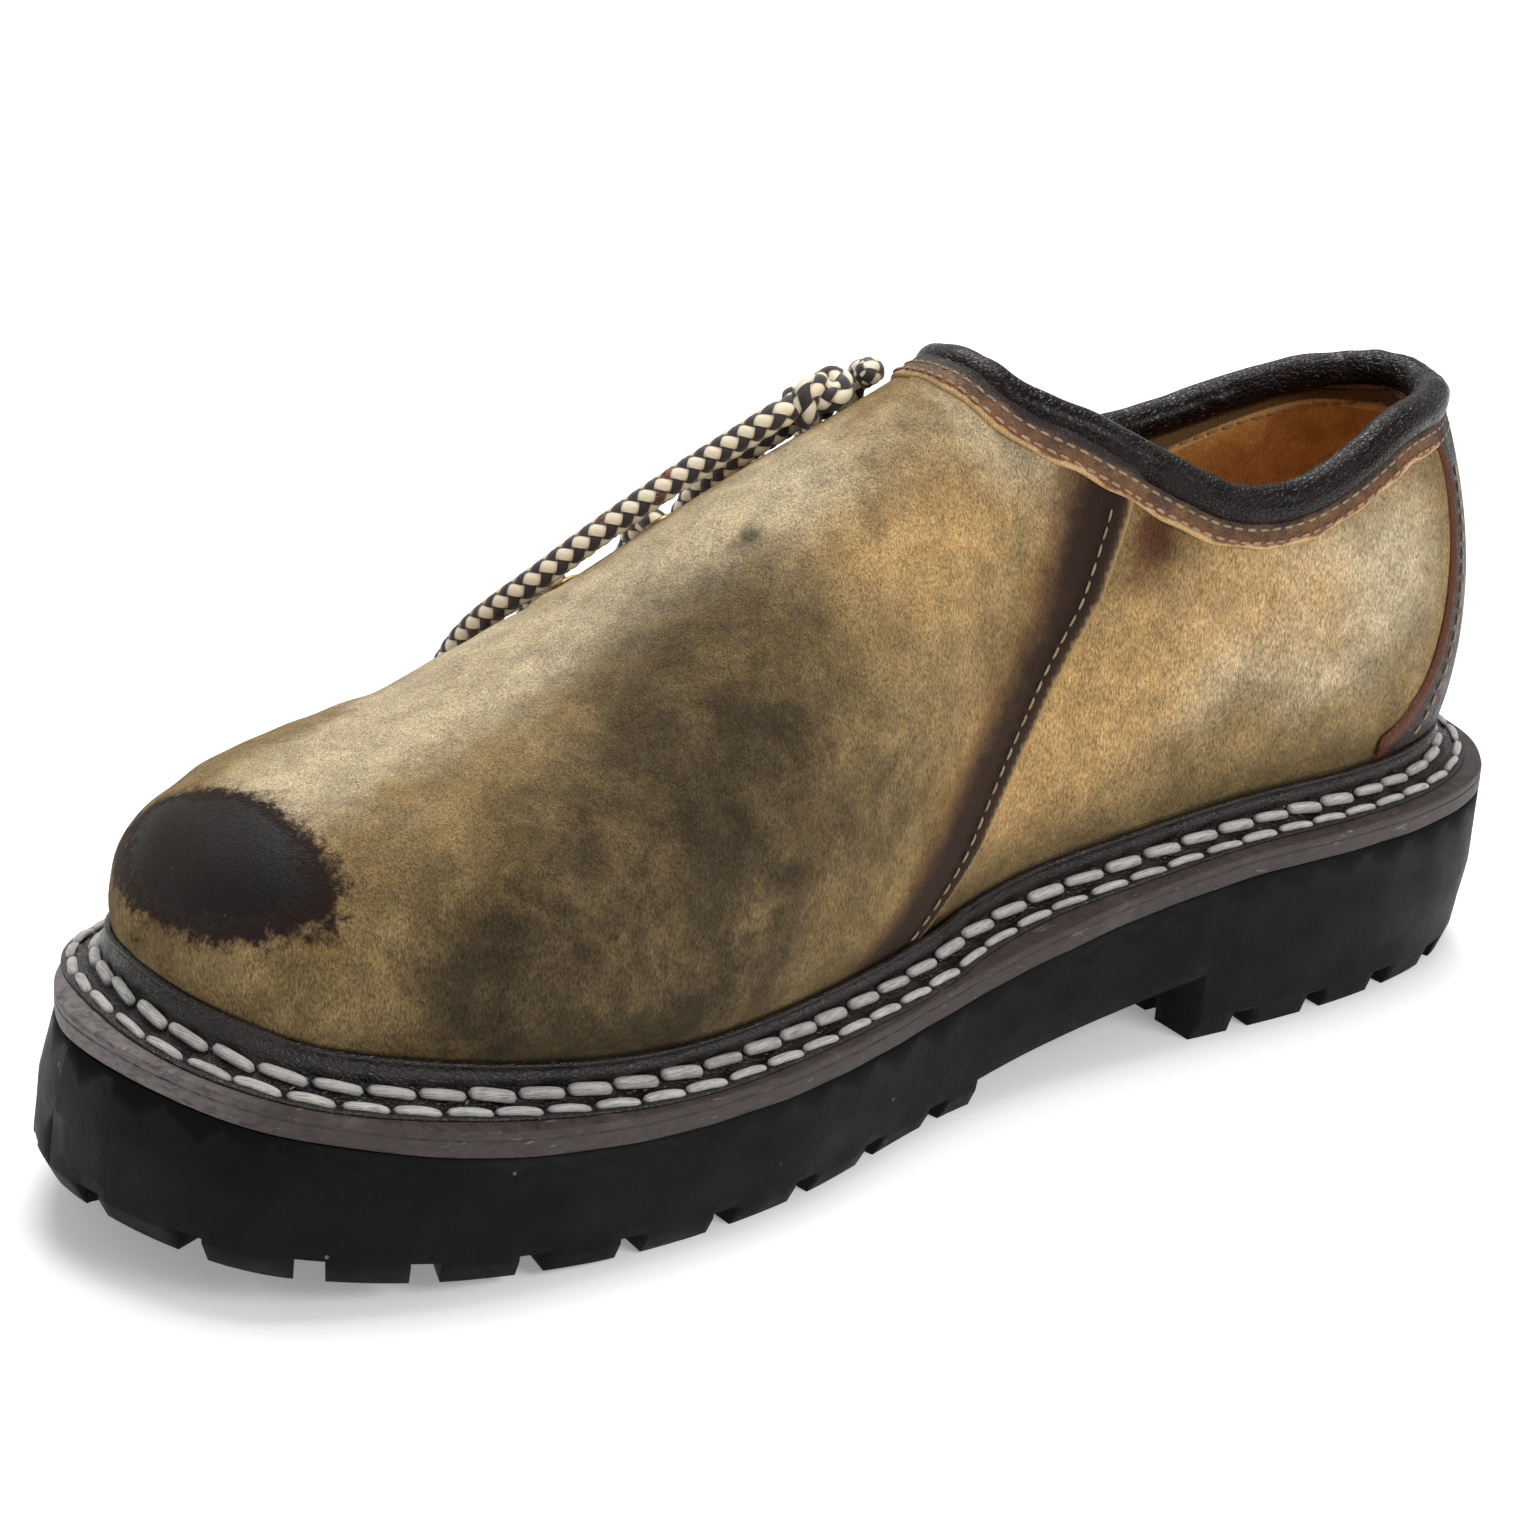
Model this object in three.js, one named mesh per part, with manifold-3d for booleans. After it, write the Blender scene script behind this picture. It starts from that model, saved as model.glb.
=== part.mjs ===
// Haferl shoe, right foot: suede upper laced on its outer side, stitched welt, midsole, lugged outsole.
// Millimetres, +Z up, the toe points to -Y and the inner side of the foot to +X.
// "s" is the distance from the back of the sole towards the toe.
import * as THREE from 'three';
import { mergeVertices } from 'three/addons/utils/BufferGeometryUtils.js';
import Module from 'manifold-3d';

const wasm = await Module();
wasm.setup();
const { Manifold } = wasm;

// Driving dimensions
const soleLength = 300;
const soleBallWidth = 110;
const lastBallWidth = 98;
const instepHeight = 98;
const clearance = 0.3;

// Sole
const heelThickness = 34;
const foreThickness = 22.5;
const toeSpring = 14;
const treadSpring = 11;
const sideDraft = 3.5;
const toeFlare = 4;
const edgeRound = 2;
const midsoleThickness = 5;
const treadDepth = 4.5;
const notchWidth = 5;
const notchPitch = 18.3;
const edgeLugLength = 13;
const channelWidth = 4;
const heelBreastRise = 15;
const archStep = 6;

// Upper
const wall = 3;
const quarterStep = 1.2;
const weltThickness = 2;
const weltInset = 1.7;
const weltRise = 7;
const stripThickness = 1.3;
const bindingRadius = 3.75;
const slitWidth = 8;
const tongueThickness = 2;
const tongueOverlap = 11;
const insoleThickness = 3;

// Lace and eyelets
const cordRadius = 2.6;
const eyeletRows = 4;
const eyeletSpread = 9;
const eyeletBore = 2.8;
const eyeletWall = 0.4;
const eyeletRim = 1.8;
const eyeletHead = 0.8;

// Places along the foot, as shares of the sole's length
const heelBreast = 0.3 * soleLength;
const treadEnd = 0.475 * soleLength;
const springStart = 0.68 * soleLength;
const flareStart = 0.8 * soleLength;
const slopeStart = 0.23 * soleLength;
const slopeEnd = 0.55 * soleLength;
const firstEyelet = 0.447 * soleLength;
const lastEyelet = 0.627 * soleLength;

// Half widths of the sole's rim, as shares of its ball width
const soleTable = [
  { along: 0, inner: 0, outer: 0 },
  { along: 0.027, inner: 0.23, outer: 0.235 },
  { along: 0.1, inner: 0.343, outer: 0.355 },
  { along: 0.2, inner: 0.372, outer: 0.365 },
  { along: 0.3, inner: 0.357, outer: 0.382 },
  { along: 0.4, inner: 0.342, outer: 0.41 },
  { along: 0.5, inner: 0.367, outer: 0.455 },
  { along: 0.6, inner: 0.444, outer: 0.5 },
  { along: 0.683, inner: 0.479, outer: 0.518 },
  { along: 0.767, inner: 0.481, outer: 0.5 },
  { along: 0.85, inner: 0.447, outer: 0.436 },
  { along: 0.917, inner: 0.371, outer: 0.337 },
  { along: 0.967, inner: 0.256, outer: 0.217 },
  { along: 1, inner: 0, outer: 0 },
];

// Sections of the last. along is a share of the sole's length, inner, outer and ridge are shares
// of the last's ball width, and crown, keel and belly are shares of the instep height.
// round is the exponent of the upper half: 1 is an ellipse, more is slimmer, less is fuller.
const lastTable = [
  { along: 0.016, inner: 0, outer: 0, crown: 0.3, keel: 0.3, belly: 0.3, ridge: 0, round: 1 },
  { along: 0.027, inner: 0.13, outer: 0.13, crown: 0.54, keel: 0.06, belly: 0.29, ridge: 0, round: 1.15 },
  { along: 0.052, inner: 0.225, outer: 0.225, crown: 0.755, keel: -0.06, belly: 0.28, ridge: 0, round: 1.3 },
  { along: 0.088, inner: 0.3, outer: 0.3, crown: 0.96, keel: -0.1, belly: 0.27, ridge: 0, round: 1.4 },
  { along: 0.148, inner: 0.352, outer: 0.35, crown: 1.13, keel: -0.1, belly: 0.255, ridge: 0, round: 1.35 },
  { along: 0.24, inner: 0.35, outer: 0.362, crown: 1.2, keel: -0.1, belly: 0.225, ridge: 0, round: 1.1 },
  { along: 0.35, inner: 0.317, outer: 0.378, crown: 1.1, keel: -0.1, belly: 0.215, ridge: 0.02, round: 1 },
  { along: 0.433, inner: 0.301, outer: 0.408, crown: 1, keel: -0.1, belly: 0.225, ridge: 0.04, round: 1 },
  { along: 0.533, inner: 0.383, outer: 0.46, crown: 0.908, keel: -0.1, belly: 0.225, ridge: 0.07, round: 1.03 },
  { along: 0.633, inner: 0.47, outer: 0.5, crown: 0.735, keel: -0.1, belly: 0.215, ridge: 0.09, round: 0.98 },
  { along: 0.733, inner: 0.495, outer: 0.5, crown: 0.571, keel: -0.1, belly: 0.204, ridge: 0.09, round: 0.9 },
  { along: 0.833, inner: 0.429, outer: 0.444, crown: 0.459, keel: -0.1, belly: 0.194, ridge: 0.077, round: 0.82 },
  { along: 0.907, inner: 0.332, outer: 0.337, crown: 0.367, keel: -0.07, belly: 0.163, ridge: 0.055, round: 0.8 },
  { along: 0.947, inner: 0.19, outer: 0.193, crown: 0.245, keel: 0.01, belly: 0.143, ridge: 0.03, round: 0.8 },
  { along: 0.962, inner: 0, outer: 0, crown: 0.133, keel: 0.133, belly: 0.133, ridge: 0, round: 0.8 },
];

// Edge of the collar on the last, from the front over the inner side, the back and the outer side.
// angle is in degrees round the section: 0 inner side, 90 crown, 180 outer side.
const collarTable = [
  { along: 0.435, angle: 90 },
  { along: 0.421, angle: 67 },
  { along: 0.38, angle: 50 },
  { along: 0.332, angle: 36.5 },
  { along: 0.288, angle: 28.5 },
  { along: 0.245, angle: 26 },
  { along: 0.2, angle: 28 },
  { along: 0.148, angle: 34 },
  { along: 0.1, angle: 41 },
  { along: 0.07, angle: 53 },
  { along: 0.057, angle: 66 },
  { along: 0.051, angle: 90 },
  { along: 0.057, angle: 114 },
  { along: 0.073, angle: 133 },
  { along: 0.105, angle: 146 },
  { along: 0.148, angle: 153.5 },
  { along: 0.2, angle: 157 },
  { along: 0.245, angle: 157 },
  { along: 0.29, angle: 152.5 },
  { along: 0.335, angle: 143 },
  { along: 0.382, angle: 128.5 },
  { along: 0.421, angle: 112 },
];

// Middle of the lacing slit on the outer side
const slitTable = [
  { along: 0.3, angle: 135 },
  { along: 0.447, angle: 136 },
  { along: 0.507, angle: 139 },
  { along: 0.567, angle: 144 },
  { along: 0.627, angle: 149 },
  { along: 0.66, angle: 151 },
];

// Seams between vamp and quarters, seen from the side: along as a share of the sole's length,
// height above the floor as a share of the instep height
const innerSeam = [
  { along: 0.33, height: 1.35 },
  { along: 0.364, height: 1.05 },
  { along: 0.383, height: 0.915 },
  { along: 0.41, height: 0.8 },
  { along: 0.442, height: 0.65 },
  { along: 0.473, height: 0.5 },
  { along: 0.503, height: 0.4 },
  { along: 0.545, height: 0.25 },
];
const outerSeam = [
  { along: 0.68, height: 1 },
  { along: 0.655, height: 0.7 },
  { along: 0.625, height: 0.5 },
  { along: 0.6, height: 0.25 },
];

// Back strip seen from behind: half width as a share of the last's ball width, height above the
// floor as a share of the instep height
const stripTable = [
  { half: 0.3, height: 0.3 },
  { half: 0.23, height: 0.5 },
  { half: 0.15, height: 0.66 },
  { half: 0.105, height: 0.82 },
  { half: 0.095, height: 1.02 },
  { half: 0.095, height: 1.3 },
];

// Lace routes: along as a share of the sole's length, angle round the last, lift off the leather
const frontEndRoute = [
  { along: 0.515, angle: 114, lift: 4.9 },
  { along: 0.533, angle: 116.5, lift: 4.7 },
  { along: 0.55, angle: 119, lift: 4.6 },
  { along: 0.57, angle: 121.5, lift: 4.5 },
  { along: 0.59, angle: 123.5, lift: 4.4 },
  { along: 0.61, angle: 125.5, lift: 4.2 },
  { along: 0.63, angle: 128, lift: 3.8 },
  { along: 0.647, angle: 131, lift: 3.3 },
  { along: 0.661, angle: 135.5, lift: 3.1 },
  { along: 0.671, angle: 141.5, lift: 3.1 },
  { along: 0.677, angle: 148, lift: 3.1 },
  { along: 0.68, angle: 155, lift: 3.1 },
  { along: 0.681, angle: 162, lift: 3.1 },
  { along: 0.681, angle: 169, lift: 3.1 },
  { along: 0.68, angle: 176, lift: 3.1 },
];
const sideEndRoute = [
  { along: 0.505, angle: 121, lift: 3.1 },
  { along: 0.517, angle: 122.5, lift: 3.1 },
  { along: 0.527, angle: 126, lift: 3.1 },
  { along: 0.534, angle: 131, lift: 3.1 },
  { along: 0.537, angle: 137, lift: 3.3 },
  { along: 0.538, angle: 143, lift: 3.3 },
  { along: 0.538, angle: 149, lift: 3.1 },
  { along: 0.538, angle: 155, lift: 3.1 },
  { along: 0.539, angle: 161, lift: 3.1 },
  { along: 0.541, angle: 167, lift: 3.1 },
  { along: 0.544, angle: 173, lift: 3.1 },
];

// Fineness of the faceted surfaces
const lastRings = 24;
const lastRingPoints = 20;
const soleStations = 33;
const profileSteps = 24;
const collarSteps = 28;
const weltSteps = 29;

const sideOf = { inner: 1, outer: -1 };
const share = (value, low, high) => THREE.MathUtils.clamp((value - low) / (high - low), 0, 1);

// Natural cubic spline through equally spaced values, as a function of the position in the list
function naturalSpline(values) {
  const last = values.length - 1;
  const bend = new Array(values.length).fill(0);
  const factor = new Array(values.length).fill(0);
  for (let i = 1; i < last; i += 1) {
    const pivot = 4 - factor[i - 1];
    factor[i] = 1 / pivot;
    bend[i] = (6 * (values[i - 1] - 2 * values[i] + values[i + 1]) - bend[i - 1]) / pivot;
  }
  for (let i = last - 1; i > 0; i -= 1) bend[i] -= factor[i] * bend[i + 1];
  return (position) => {
    const i = THREE.MathUtils.clamp(Math.floor(position), 0, last - 1);
    const b = position - i;
    const a = 1 - b;
    const curve = ((a ** 3 - a) * bend[i] + (b ** 3 - b) * bend[i + 1]) / 6;
    return a * values[i] + b * values[i + 1] + curve;
  };
}

// Splines for the columns of a table that starts and ends in a pole. A ghost row past each pole
// mirrors its neighbour, so that the surface closes smoothly there.
function tableSplines(table, scales, signs, swaps = {}) {
  const splines = {};
  for (const column of Object.keys(scales)) {
    const source = swaps[column] ?? column;
    const ghost = (pole, row) => (signs[column] === 'reflect'
      ? 2 * pole[column] - row[source]
      : signs[column] * row[source]);
    const first = ghost(table[0], table[1]);
    const last = ghost(table.at(-1), table.at(-2));
    const values = [first, ...table.map((row) => row[column]), last];
    const spline = naturalSpline(values.map((value) => value * scales[column]));
    splines[column] = (position) => spline(position + 1);
  }
  return splines;
}

// Position in a table at which its spline "along" reaches s
function positionAt(along, count, s) {
  let low = 0;
  let high = count - 1;
  for (let step = 0; step < 40; step += 1) {
    const middle = (low + high) / 2;
    if (along(middle) < s) low = middle;
    else high = middle;
  }
  return (low + high) / 2;
}

const sole = tableSplines(
  soleTable,
  { along: soleLength, inner: soleBallWidth, outer: soleBallWidth },
  { along: 1, inner: -1, outer: -1 },
);
const last = tableSplines(
  lastTable,
  {
    along: soleLength,
    inner: lastBallWidth,
    outer: lastBallWidth,
    ridge: lastBallWidth,
    crown: instepHeight,
    keel: instepHeight,
    belly: instepHeight,
    round: 1,
  },
  { along: 1, inner: -1, outer: -1, ridge: -1, crown: 1, keel: 1, belly: 'reflect', round: 1 },
  { crown: 'keel', keel: 'crown' },
);

// Heights of the sole's surfaces above the floor
const treadHeight = (s) => treadSpring * share(s, springStart, soleLength) ** 2;
const rimHeight = (s) => THREE.MathUtils.lerp(
  heelThickness,
  foreThickness,
  THREE.MathUtils.smoothstep(s, slopeStart, slopeEnd),
) + toeSpring * share(s, springStart, soleLength) ** 2;
const midsoleTop = (s) => rimHeight(s) + midsoleThickness;
const toeShare = (s) => THREE.MathUtils.smoothstep(s, flareStart, soleLength);
const toY = (s) => soleLength / 2 - s;

// Point of the last at a table position and an angle round the section
function lastPoint(position, angle) {
  const c = Math.cos(angle);
  const h = Math.sin(angle);
  const belly = last.belly(position);
  const s = last.along(position);
  const reach = c >= 0 ? last.inner(position) : -last.outer(position);
  const ridge = last.ridge(position);
  const upper = h >= 0;
  const across = upper
    ? ridge + (reach - ridge) * Math.abs(c) ** last.round(position)
    : reach * Math.abs(c) ** 0.7;
  const swell = upper ? last.crown(position) - belly : belly - last.keel(position);
  return new THREE.Vector3(across, toY(s), midsoleTop(s) + belly + swell * h);
}

// Outward normal of the last, from two small steps on its surface
function lastNormal(position, angle) {
  const step = 0.02;
  const along = lastPoint(position + step, angle).sub(lastPoint(position - step, angle));
  const around = lastPoint(position, angle + step).sub(lastPoint(position, angle - step));
  return around.cross(along).normalize();
}

// Point at a distance off the last, placed by s and by degrees round the section
function offLast(s, degrees, lift) {
  const position = positionAt(last.along, lastTable.length, s);
  const angle = THREE.MathUtils.degToRad(degrees);
  return lastPoint(position, angle).addScaledVector(lastNormal(position, angle), lift);
}

// Point of the sole's outline, moved inwards by an inset
function outlinePoint(position, side, inset) {
  const step = 0.02;
  const at = (p) => new THREE.Vector2(sideOf[side] * sole[side](p), sole.along(p));
  const run = at(position + step).sub(at(position - step)).normalize();
  const inward = new THREE.Vector2(-run.y, run.x).multiplyScalar(sideOf[side]);
  return at(position).addScaledVector(inward, inset);
}

// Solid from a three.js geometry: shared corners are merged and flat triangles dropped
function solidFrom(geometry) {
  const bare = new THREE.BufferGeometry();
  bare.setAttribute('position', geometry.getAttribute('position'));
  if (geometry.index) bare.setIndex(geometry.index);
  const merged = mergeVertices(bare, 1e-4);
  const corners = merged.index.array;
  const kept = [];
  for (let i = 0; i < corners.length; i += 3) {
    const [a, b, c] = [corners[i], corners[i + 1], corners[i + 2]];
    if (a !== b && b !== c && c !== a) kept.push(a, b, c);
  }
  const place = merged.getAttribute('position');
  return new Manifold(new wasm.Mesh({
    numProp: 3,
    vertProperties: new Float32Array(place.array),
    triVerts: new Uint32Array(signedVolume(place, kept) < 0 ? kept.reverse() : kept),
  }));
}

// Volume of a closed mesh, negative where its faces point inwards
function signedVolume(place, corners) {
  const corner = (i) => new THREE.Vector3().fromBufferAttribute(place, corners[i]);
  let volume = 0;
  for (let i = 0; i < corners.length; i += 3) volume += corner(i).dot(corner(i + 1).cross(corner(i + 2))) / 6;
  return volume;
}

// Triangles between a ring of points and the next one
function band(count, from, to) {
  const triangles = [];
  for (let i = 0; i < count; i += 1) {
    const next = (i + 1) % count;
    triangles.push(from + i, from + next, to + next, from + i, to + next, to + i);
  }
  return triangles;
}

function solidOfRings(rings, triangles) {
  const positions = rings.flat().flatMap((point) => point.toArray());
  const geometry = new THREE.BufferGeometry();
  geometry.setAttribute('position', new THREE.Float32BufferAttribute(positions, 3));
  geometry.setIndex(triangles);
  return solidFrom(geometry);
}

// Solid through rings of points that are listed in the same order, with a cap on each end
function loft(rings) {
  const count = rings[0].length;
  const triangles = [];
  for (let r = 0; r < rings.length - 1; r += 1) triangles.push(...band(count, r * count, (r + 1) * count));
  const end = (rings.length - 1) * count;
  for (let i = 1; i < count - 1; i += 1) {
    triangles.push(0, i + 1, i);
    triangles.push(end, end + i, end + i + 1);
  }
  return solidOfRings(rings, triangles);
}

// Solid through sections that follow each other round a closed loop
function loop(sections) {
  const count = sections[0].length;
  const triangles = sections.flatMap((section, r) => (
    band(count, r * count, ((r + 1) % sections.length) * count)
  ));
  return solidOfRings(sections, triangles);
}

// Closed form that runs at a constant distance off the last
const forms = new Map();
function form(offset) {
  if (forms.has(offset)) return forms.get(offset);
  const end = lastTable.length - 1;
  const rings = [];
  for (let r = 0; r <= lastRings; r += 1) {
    const position = (end * r) / lastRings;
    const ring = [];
    for (let i = 0; i < lastRingPoints; i += 1) {
      const angle = (2 * Math.PI * i) / lastRingPoints;
      const pole = r === 0 || r === lastRings;
      const normal = pole ? new THREE.Vector3(0, r === 0 ? 1 : -1, 0) : lastNormal(position, angle);
      ring.push(lastPoint(position, pole ? Math.PI / 2 : angle).addScaledVector(normal, offset));
    }
    rings.push(ring);
  }
  forms.set(offset, loft(rings));
  return forms.get(offset);
}

// Solid of the sole's outline through levels from the bottom up, each with an inset and a height
function soleSolid(levels) {
  const end = soleTable.length - 1;
  const point = (position, side, level) => {
    const flat = outlinePoint(position, side, level.inset(sole.along(position)));
    return new THREE.Vector3(flat.x, toY(flat.y), level.height(flat.y));
  };
  const rings = [];
  for (let r = 0; r <= soleStations; r += 1) {
    const position = (end * r) / soleStations;
    const outer = levels.map((level) => point(position, 'outer', level));
    const inner = levels.map((level) => point(position, 'inner', level));
    rings.push([...outer, ...inner.reverse()]);
  }
  return loft(rings);
}

// Prism of an outline, and its three ways of lying: across the shoe, upright, and lengthwise
function prism(points, depth) {
  const shape = new THREE.Shape(points.map(([u, v]) => new THREE.Vector2(u, v)));
  return new THREE.ExtrudeGeometry(shape, { depth, bevelEnabled: false });
}
function sidePrism(points, fromX, toX) {
  const geometry = prism(points.map(([s, z]) => [toY(s), z]), toX - fromX);
  const turn = new THREE.Matrix4().makeBasis(
    new THREE.Vector3(0, 1, 0),
    new THREE.Vector3(0, 0, 1),
    new THREE.Vector3(1, 0, 0),
  );
  return solidFrom(geometry.applyMatrix4(turn).translate(fromX, 0, 0));
}
function planPrism(points, fromZ, toZ) {
  const geometry = prism(points.map(([x, s]) => [x, toY(s)]), toZ - fromZ);
  return solidFrom(geometry.translate(0, 0, fromZ));
}
function backPrism(points, fromS, toS) {
  const geometry = prism(points, toS - fromS);
  const turn = new THREE.Matrix4().makeBasis(
    new THREE.Vector3(1, 0, 0),
    new THREE.Vector3(0, 0, 1),
    new THREE.Vector3(0, -1, 0),
  );
  return solidFrom(geometry.applyMatrix4(turn).translate(0, toY(fromS), 0));
}

// Round bar along a smooth curve
function tube(points, radius, steps, sides = 8) {
  const section = new THREE.Shape();
  for (let i = 0; i < sides; i += 1) {
    const angle = (2 * Math.PI * i) / sides;
    const corner = [radius * Math.cos(angle), radius * Math.sin(angle)];
    if (i === 0) section.moveTo(...corner);
    else section.lineTo(...corner);
  }
  section.closePath();
  const extrudePath = new THREE.CatmullRomCurve3(points, false, 'centripetal');
  return solidFrom(new THREE.ExtrudeGeometry(section, { steps, extrudePath, bevelEnabled: false }));
}

const farWide = soleBallWidth;
const farHigh = 3 * instepHeight;
const farLow = -instepHeight;

// Everything below a height that depends on s
function below(height) {
  const points = [];
  for (let i = 0; i <= profileSteps; i += 1) {
    const s = soleLength * (-0.05 + (1.1 * i) / profileSteps);
    points.push([s, height(s)]);
  }
  return sidePrism([...points, [1.05 * soleLength, farLow], [-0.05 * soleLength, farLow]], -farWide, farWide);
}

// Outsole: body with drafted sides that flare round the toe, arch and heel breast, and a tread of
// edge lugs and centre bars
function makeOutsole() {
  const level = (up, draft) => ({
    inset: (s) => sideDraft * draft - (sideDraft * draft + toeFlare * (1 - up ** 2)) * toeShare(s)
      + (up === 0 ? edgeRound * toeShare(s) : 0),
    height: (s) => THREE.MathUtils.lerp(treadHeight(s), rimHeight(s), up),
  });
  const body = soleSolid([level(0, 1), level(0.15, 0.5), level(0.55, 0), level(1, 0)]);
  const arch = sidePrism([
    [heelBreast, farLow],
    [treadEnd, farLow],
    [treadEnd, archStep],
    [heelBreast, heelBreastRise],
  ], -farWide, farWide);
  const grooves = Manifold.union([makeChannel(), ...makeNotches(), ...makeCrossCuts()]);
  return body.subtract(arch).subtract(grooves.intersect(below((s) => treadHeight(s) + treadDepth)));
}

// Ring-shaped channel between the edge lugs and the centre of the tread
function makeChannel() {
  const ring = (inset) => {
    const level = (height) => ({ inset: () => inset, height: () => height });
    return soleSolid([level(farLow), level(heelThickness)]);
  };
  return ring(edgeLugLength).subtract(ring(edgeLugLength + channelWidth));
}

// Gaps between the edge lugs, square to the outline at equal steps along it
function makeNotches() {
  const outline = (side) => {
    const samples = 120;
    const end = soleTable.length - 1;
    const points = [];
    for (let i = 0; i <= samples; i += 1) points.push(outlinePoint((end * i) / samples, side, 0));
    return points;
  };
  const around = [...outline('inner'), ...outline('outer').reverse().slice(1)];
  const curve = new THREE.SplineCurve(around);
  const length = curve.getLength();
  const count = Math.round(length / notchPitch);
  const notches = [];
  for (let i = 0; i < count; i += 1) {
    const at = (i + 0.5) / count;
    const middle = curve.getPointAt(at);
    const run = curve.getTangentAt(at);
    const inward = new THREE.Vector2(-run.y, run.x);
    const corner = (depth, half) => middle.clone().addScaledVector(inward, depth).addScaledVector(run, half).toArray();
    const half = notchWidth / 2;
    const reach = edgeLugLength + channelWidth / 2;
    const corners = [corner(-reach, -half), corner(-reach, half), corner(reach, half), corner(reach, -half)];
    notches.push(planPrism(corners, farLow, heelThickness));
  }
  return notches;
}

// Cuts across the centre of the tread
function makeCrossCuts() {
  const cuts = [];
  const inset = edgeLugLength + channelWidth / 2;
  for (let s = notchPitch; s < soleLength - edgeLugLength; s += notchPitch) {
    const position = positionAt(sole.along, soleTable.length, s);
    const inner = sole.inner(position) - inset;
    const outer = inset - sole.outer(position);
    const half = notchWidth / 2;
    if (inner - outer < inset) continue;
    cuts.push(planPrism([[outer, s - half], [inner, s - half], [inner, s + half], [outer, s + half]], farLow, heelThickness));
  }
  return cuts;
}

function makeMidsole() {
  return soleSolid([
    { inset: () => 0, height: (s) => rimHeight(s) + clearance },
    { inset: () => 0, height: midsoleTop },
  ]);
}

// Region of the vamp: ahead of the inner seam and beside the slit, and ahead of the outer seam
function vampRegion() {
  const ahead = (seam) => [
    ...seam.map((row) => [row.along * soleLength, row.height * instepHeight]),
    [1.1 * soleLength, farLow],
    [1.1 * soleLength, farHigh],
    [seam[0].along * soleLength, farHigh],
  ];
  const slitLine = slitTable.map((row) => {
    const point = offLast(row.along * soleLength, row.angle, 0);
    return [point.x, row.along * soleLength];
  });
  const besideSlit = planPrism([
    [slitLine[0][0], 0],
    ...slitLine,
    [slitLine.at(-1)[0], 1.1 * soleLength],
    [farWide, 1.1 * soleLength],
    [farWide, 0],
  ], farLow, farHigh);
  return sidePrism(ahead(innerSeam), -farWide, farWide).intersect(besideSlit)
    .add(sidePrism(ahead(outerSeam), -farWide, farWide));
}

// Outer form of the upper: the vamp stands one step proud of the quarters
function upperForm(offset) {
  return form(offset - quarterStep).add(form(offset).intersect(vampRegion()));
}

// Frame of the collar's edge at a share of its length
const collarCurve = new THREE.CatmullRomCurve3(
  collarTable.map((row) => new THREE.Vector3(row.along * soleLength, row.angle, 0)),
  true,
  'centripetal',
);
function collarFrame(at) {
  const step = 0.001;
  const point = (u) => {
    const spot = collarCurve.getPoint(((u % 1) + 1) % 1);
    return offLast(spot.x, spot.y, 0);
  };
  const spot = collarCurve.getPoint(((at % 1) + 1) % 1);
  const normal = offLast(spot.x, spot.y, 1).sub(point(at));
  const run = point(at + step).sub(point(at - step)).normalize();
  return { point: point(at), normal, opening: normal.clone().cross(run).normalize() };
}

// Space above the collar's edge, cut square through the wall and moved by a shift into the opening
function collarOpening(shift) {
  const reach = 4 * wall;
  const rings = [[], [], [], [], []];
  for (let i = 0; i < collarSteps; i += 1) {
    const { point, normal, opening } = collarFrame(i / collarSteps);
    const edge = point.addScaledVector(opening, shift);
    rings[1].push(edge.clone().addScaledVector(normal, -reach));
    rings[2].push(edge.clone().addScaledVector(normal, reach));
    rings[3].push(rings[2][i].clone().setZ(farHigh));
  }
  const sum = (ring) => ring.reduce((total, point) => total.add(point), new THREE.Vector3());
  const middle = (ring) => sum(ring).divideScalar(collarSteps);
  rings[0] = rings[1].map(() => middle(rings[1]));
  rings[4] = rings[3].map(() => middle(rings[3]));
  return loft(rings);
}

// Lacing slit: a wedge that narrows towards the toe, square to the leather
function makeSlit() {
  const rows = slitTable.map((row, i) => {
    const s = row.along * soleLength;
    const half = (slitWidth / 2) * (1 - 0.75 * (i / (slitTable.length - 1)) ** 2);
    const middle = offLast(s, row.angle, 0);
    const normal = offLast(s, row.angle, 1).sub(middle);
    const side = normal.clone().cross(new THREE.Vector3(0, 1, 0)).normalize();
    const corner = (across, up) => middle.clone().addScaledVector(side, across).addScaledVector(normal, up);
    const deep = 2.5 * wall;
    return [corner(-half, -deep), corner(half, -deep), corner(half, deep), corner(-half, deep)];
  });
  return loft(rows);
}

// Middle and outward direction of each eyelet on one side of the slit
function eyeletFrame(row, side) {
  const s = THREE.MathUtils.lerp(firstEyelet, lastEyelet, row / (eyeletRows - 1));
  const slit = naturalSpline(slitTable.map((entry) => entry.angle));
  const along = naturalSpline(slitTable.map((entry) => entry.along * soleLength));
  const angle = slit(positionAt(along, slitTable.length, s));
  const girth = offLast(s, angle + 1, 0).distanceTo(offLast(s, angle - 1, 0)) / 2;
  const degrees = angle - (sideOf[side] * eyeletSpread) / girth;
  const drop = side === 'outer' ? -quarterStep : 0;
  const middle = offLast(s, degrees, drop);
  const normal = offLast(s, degrees, drop + 1).sub(middle);
  return { middle, normal };
}

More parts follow.
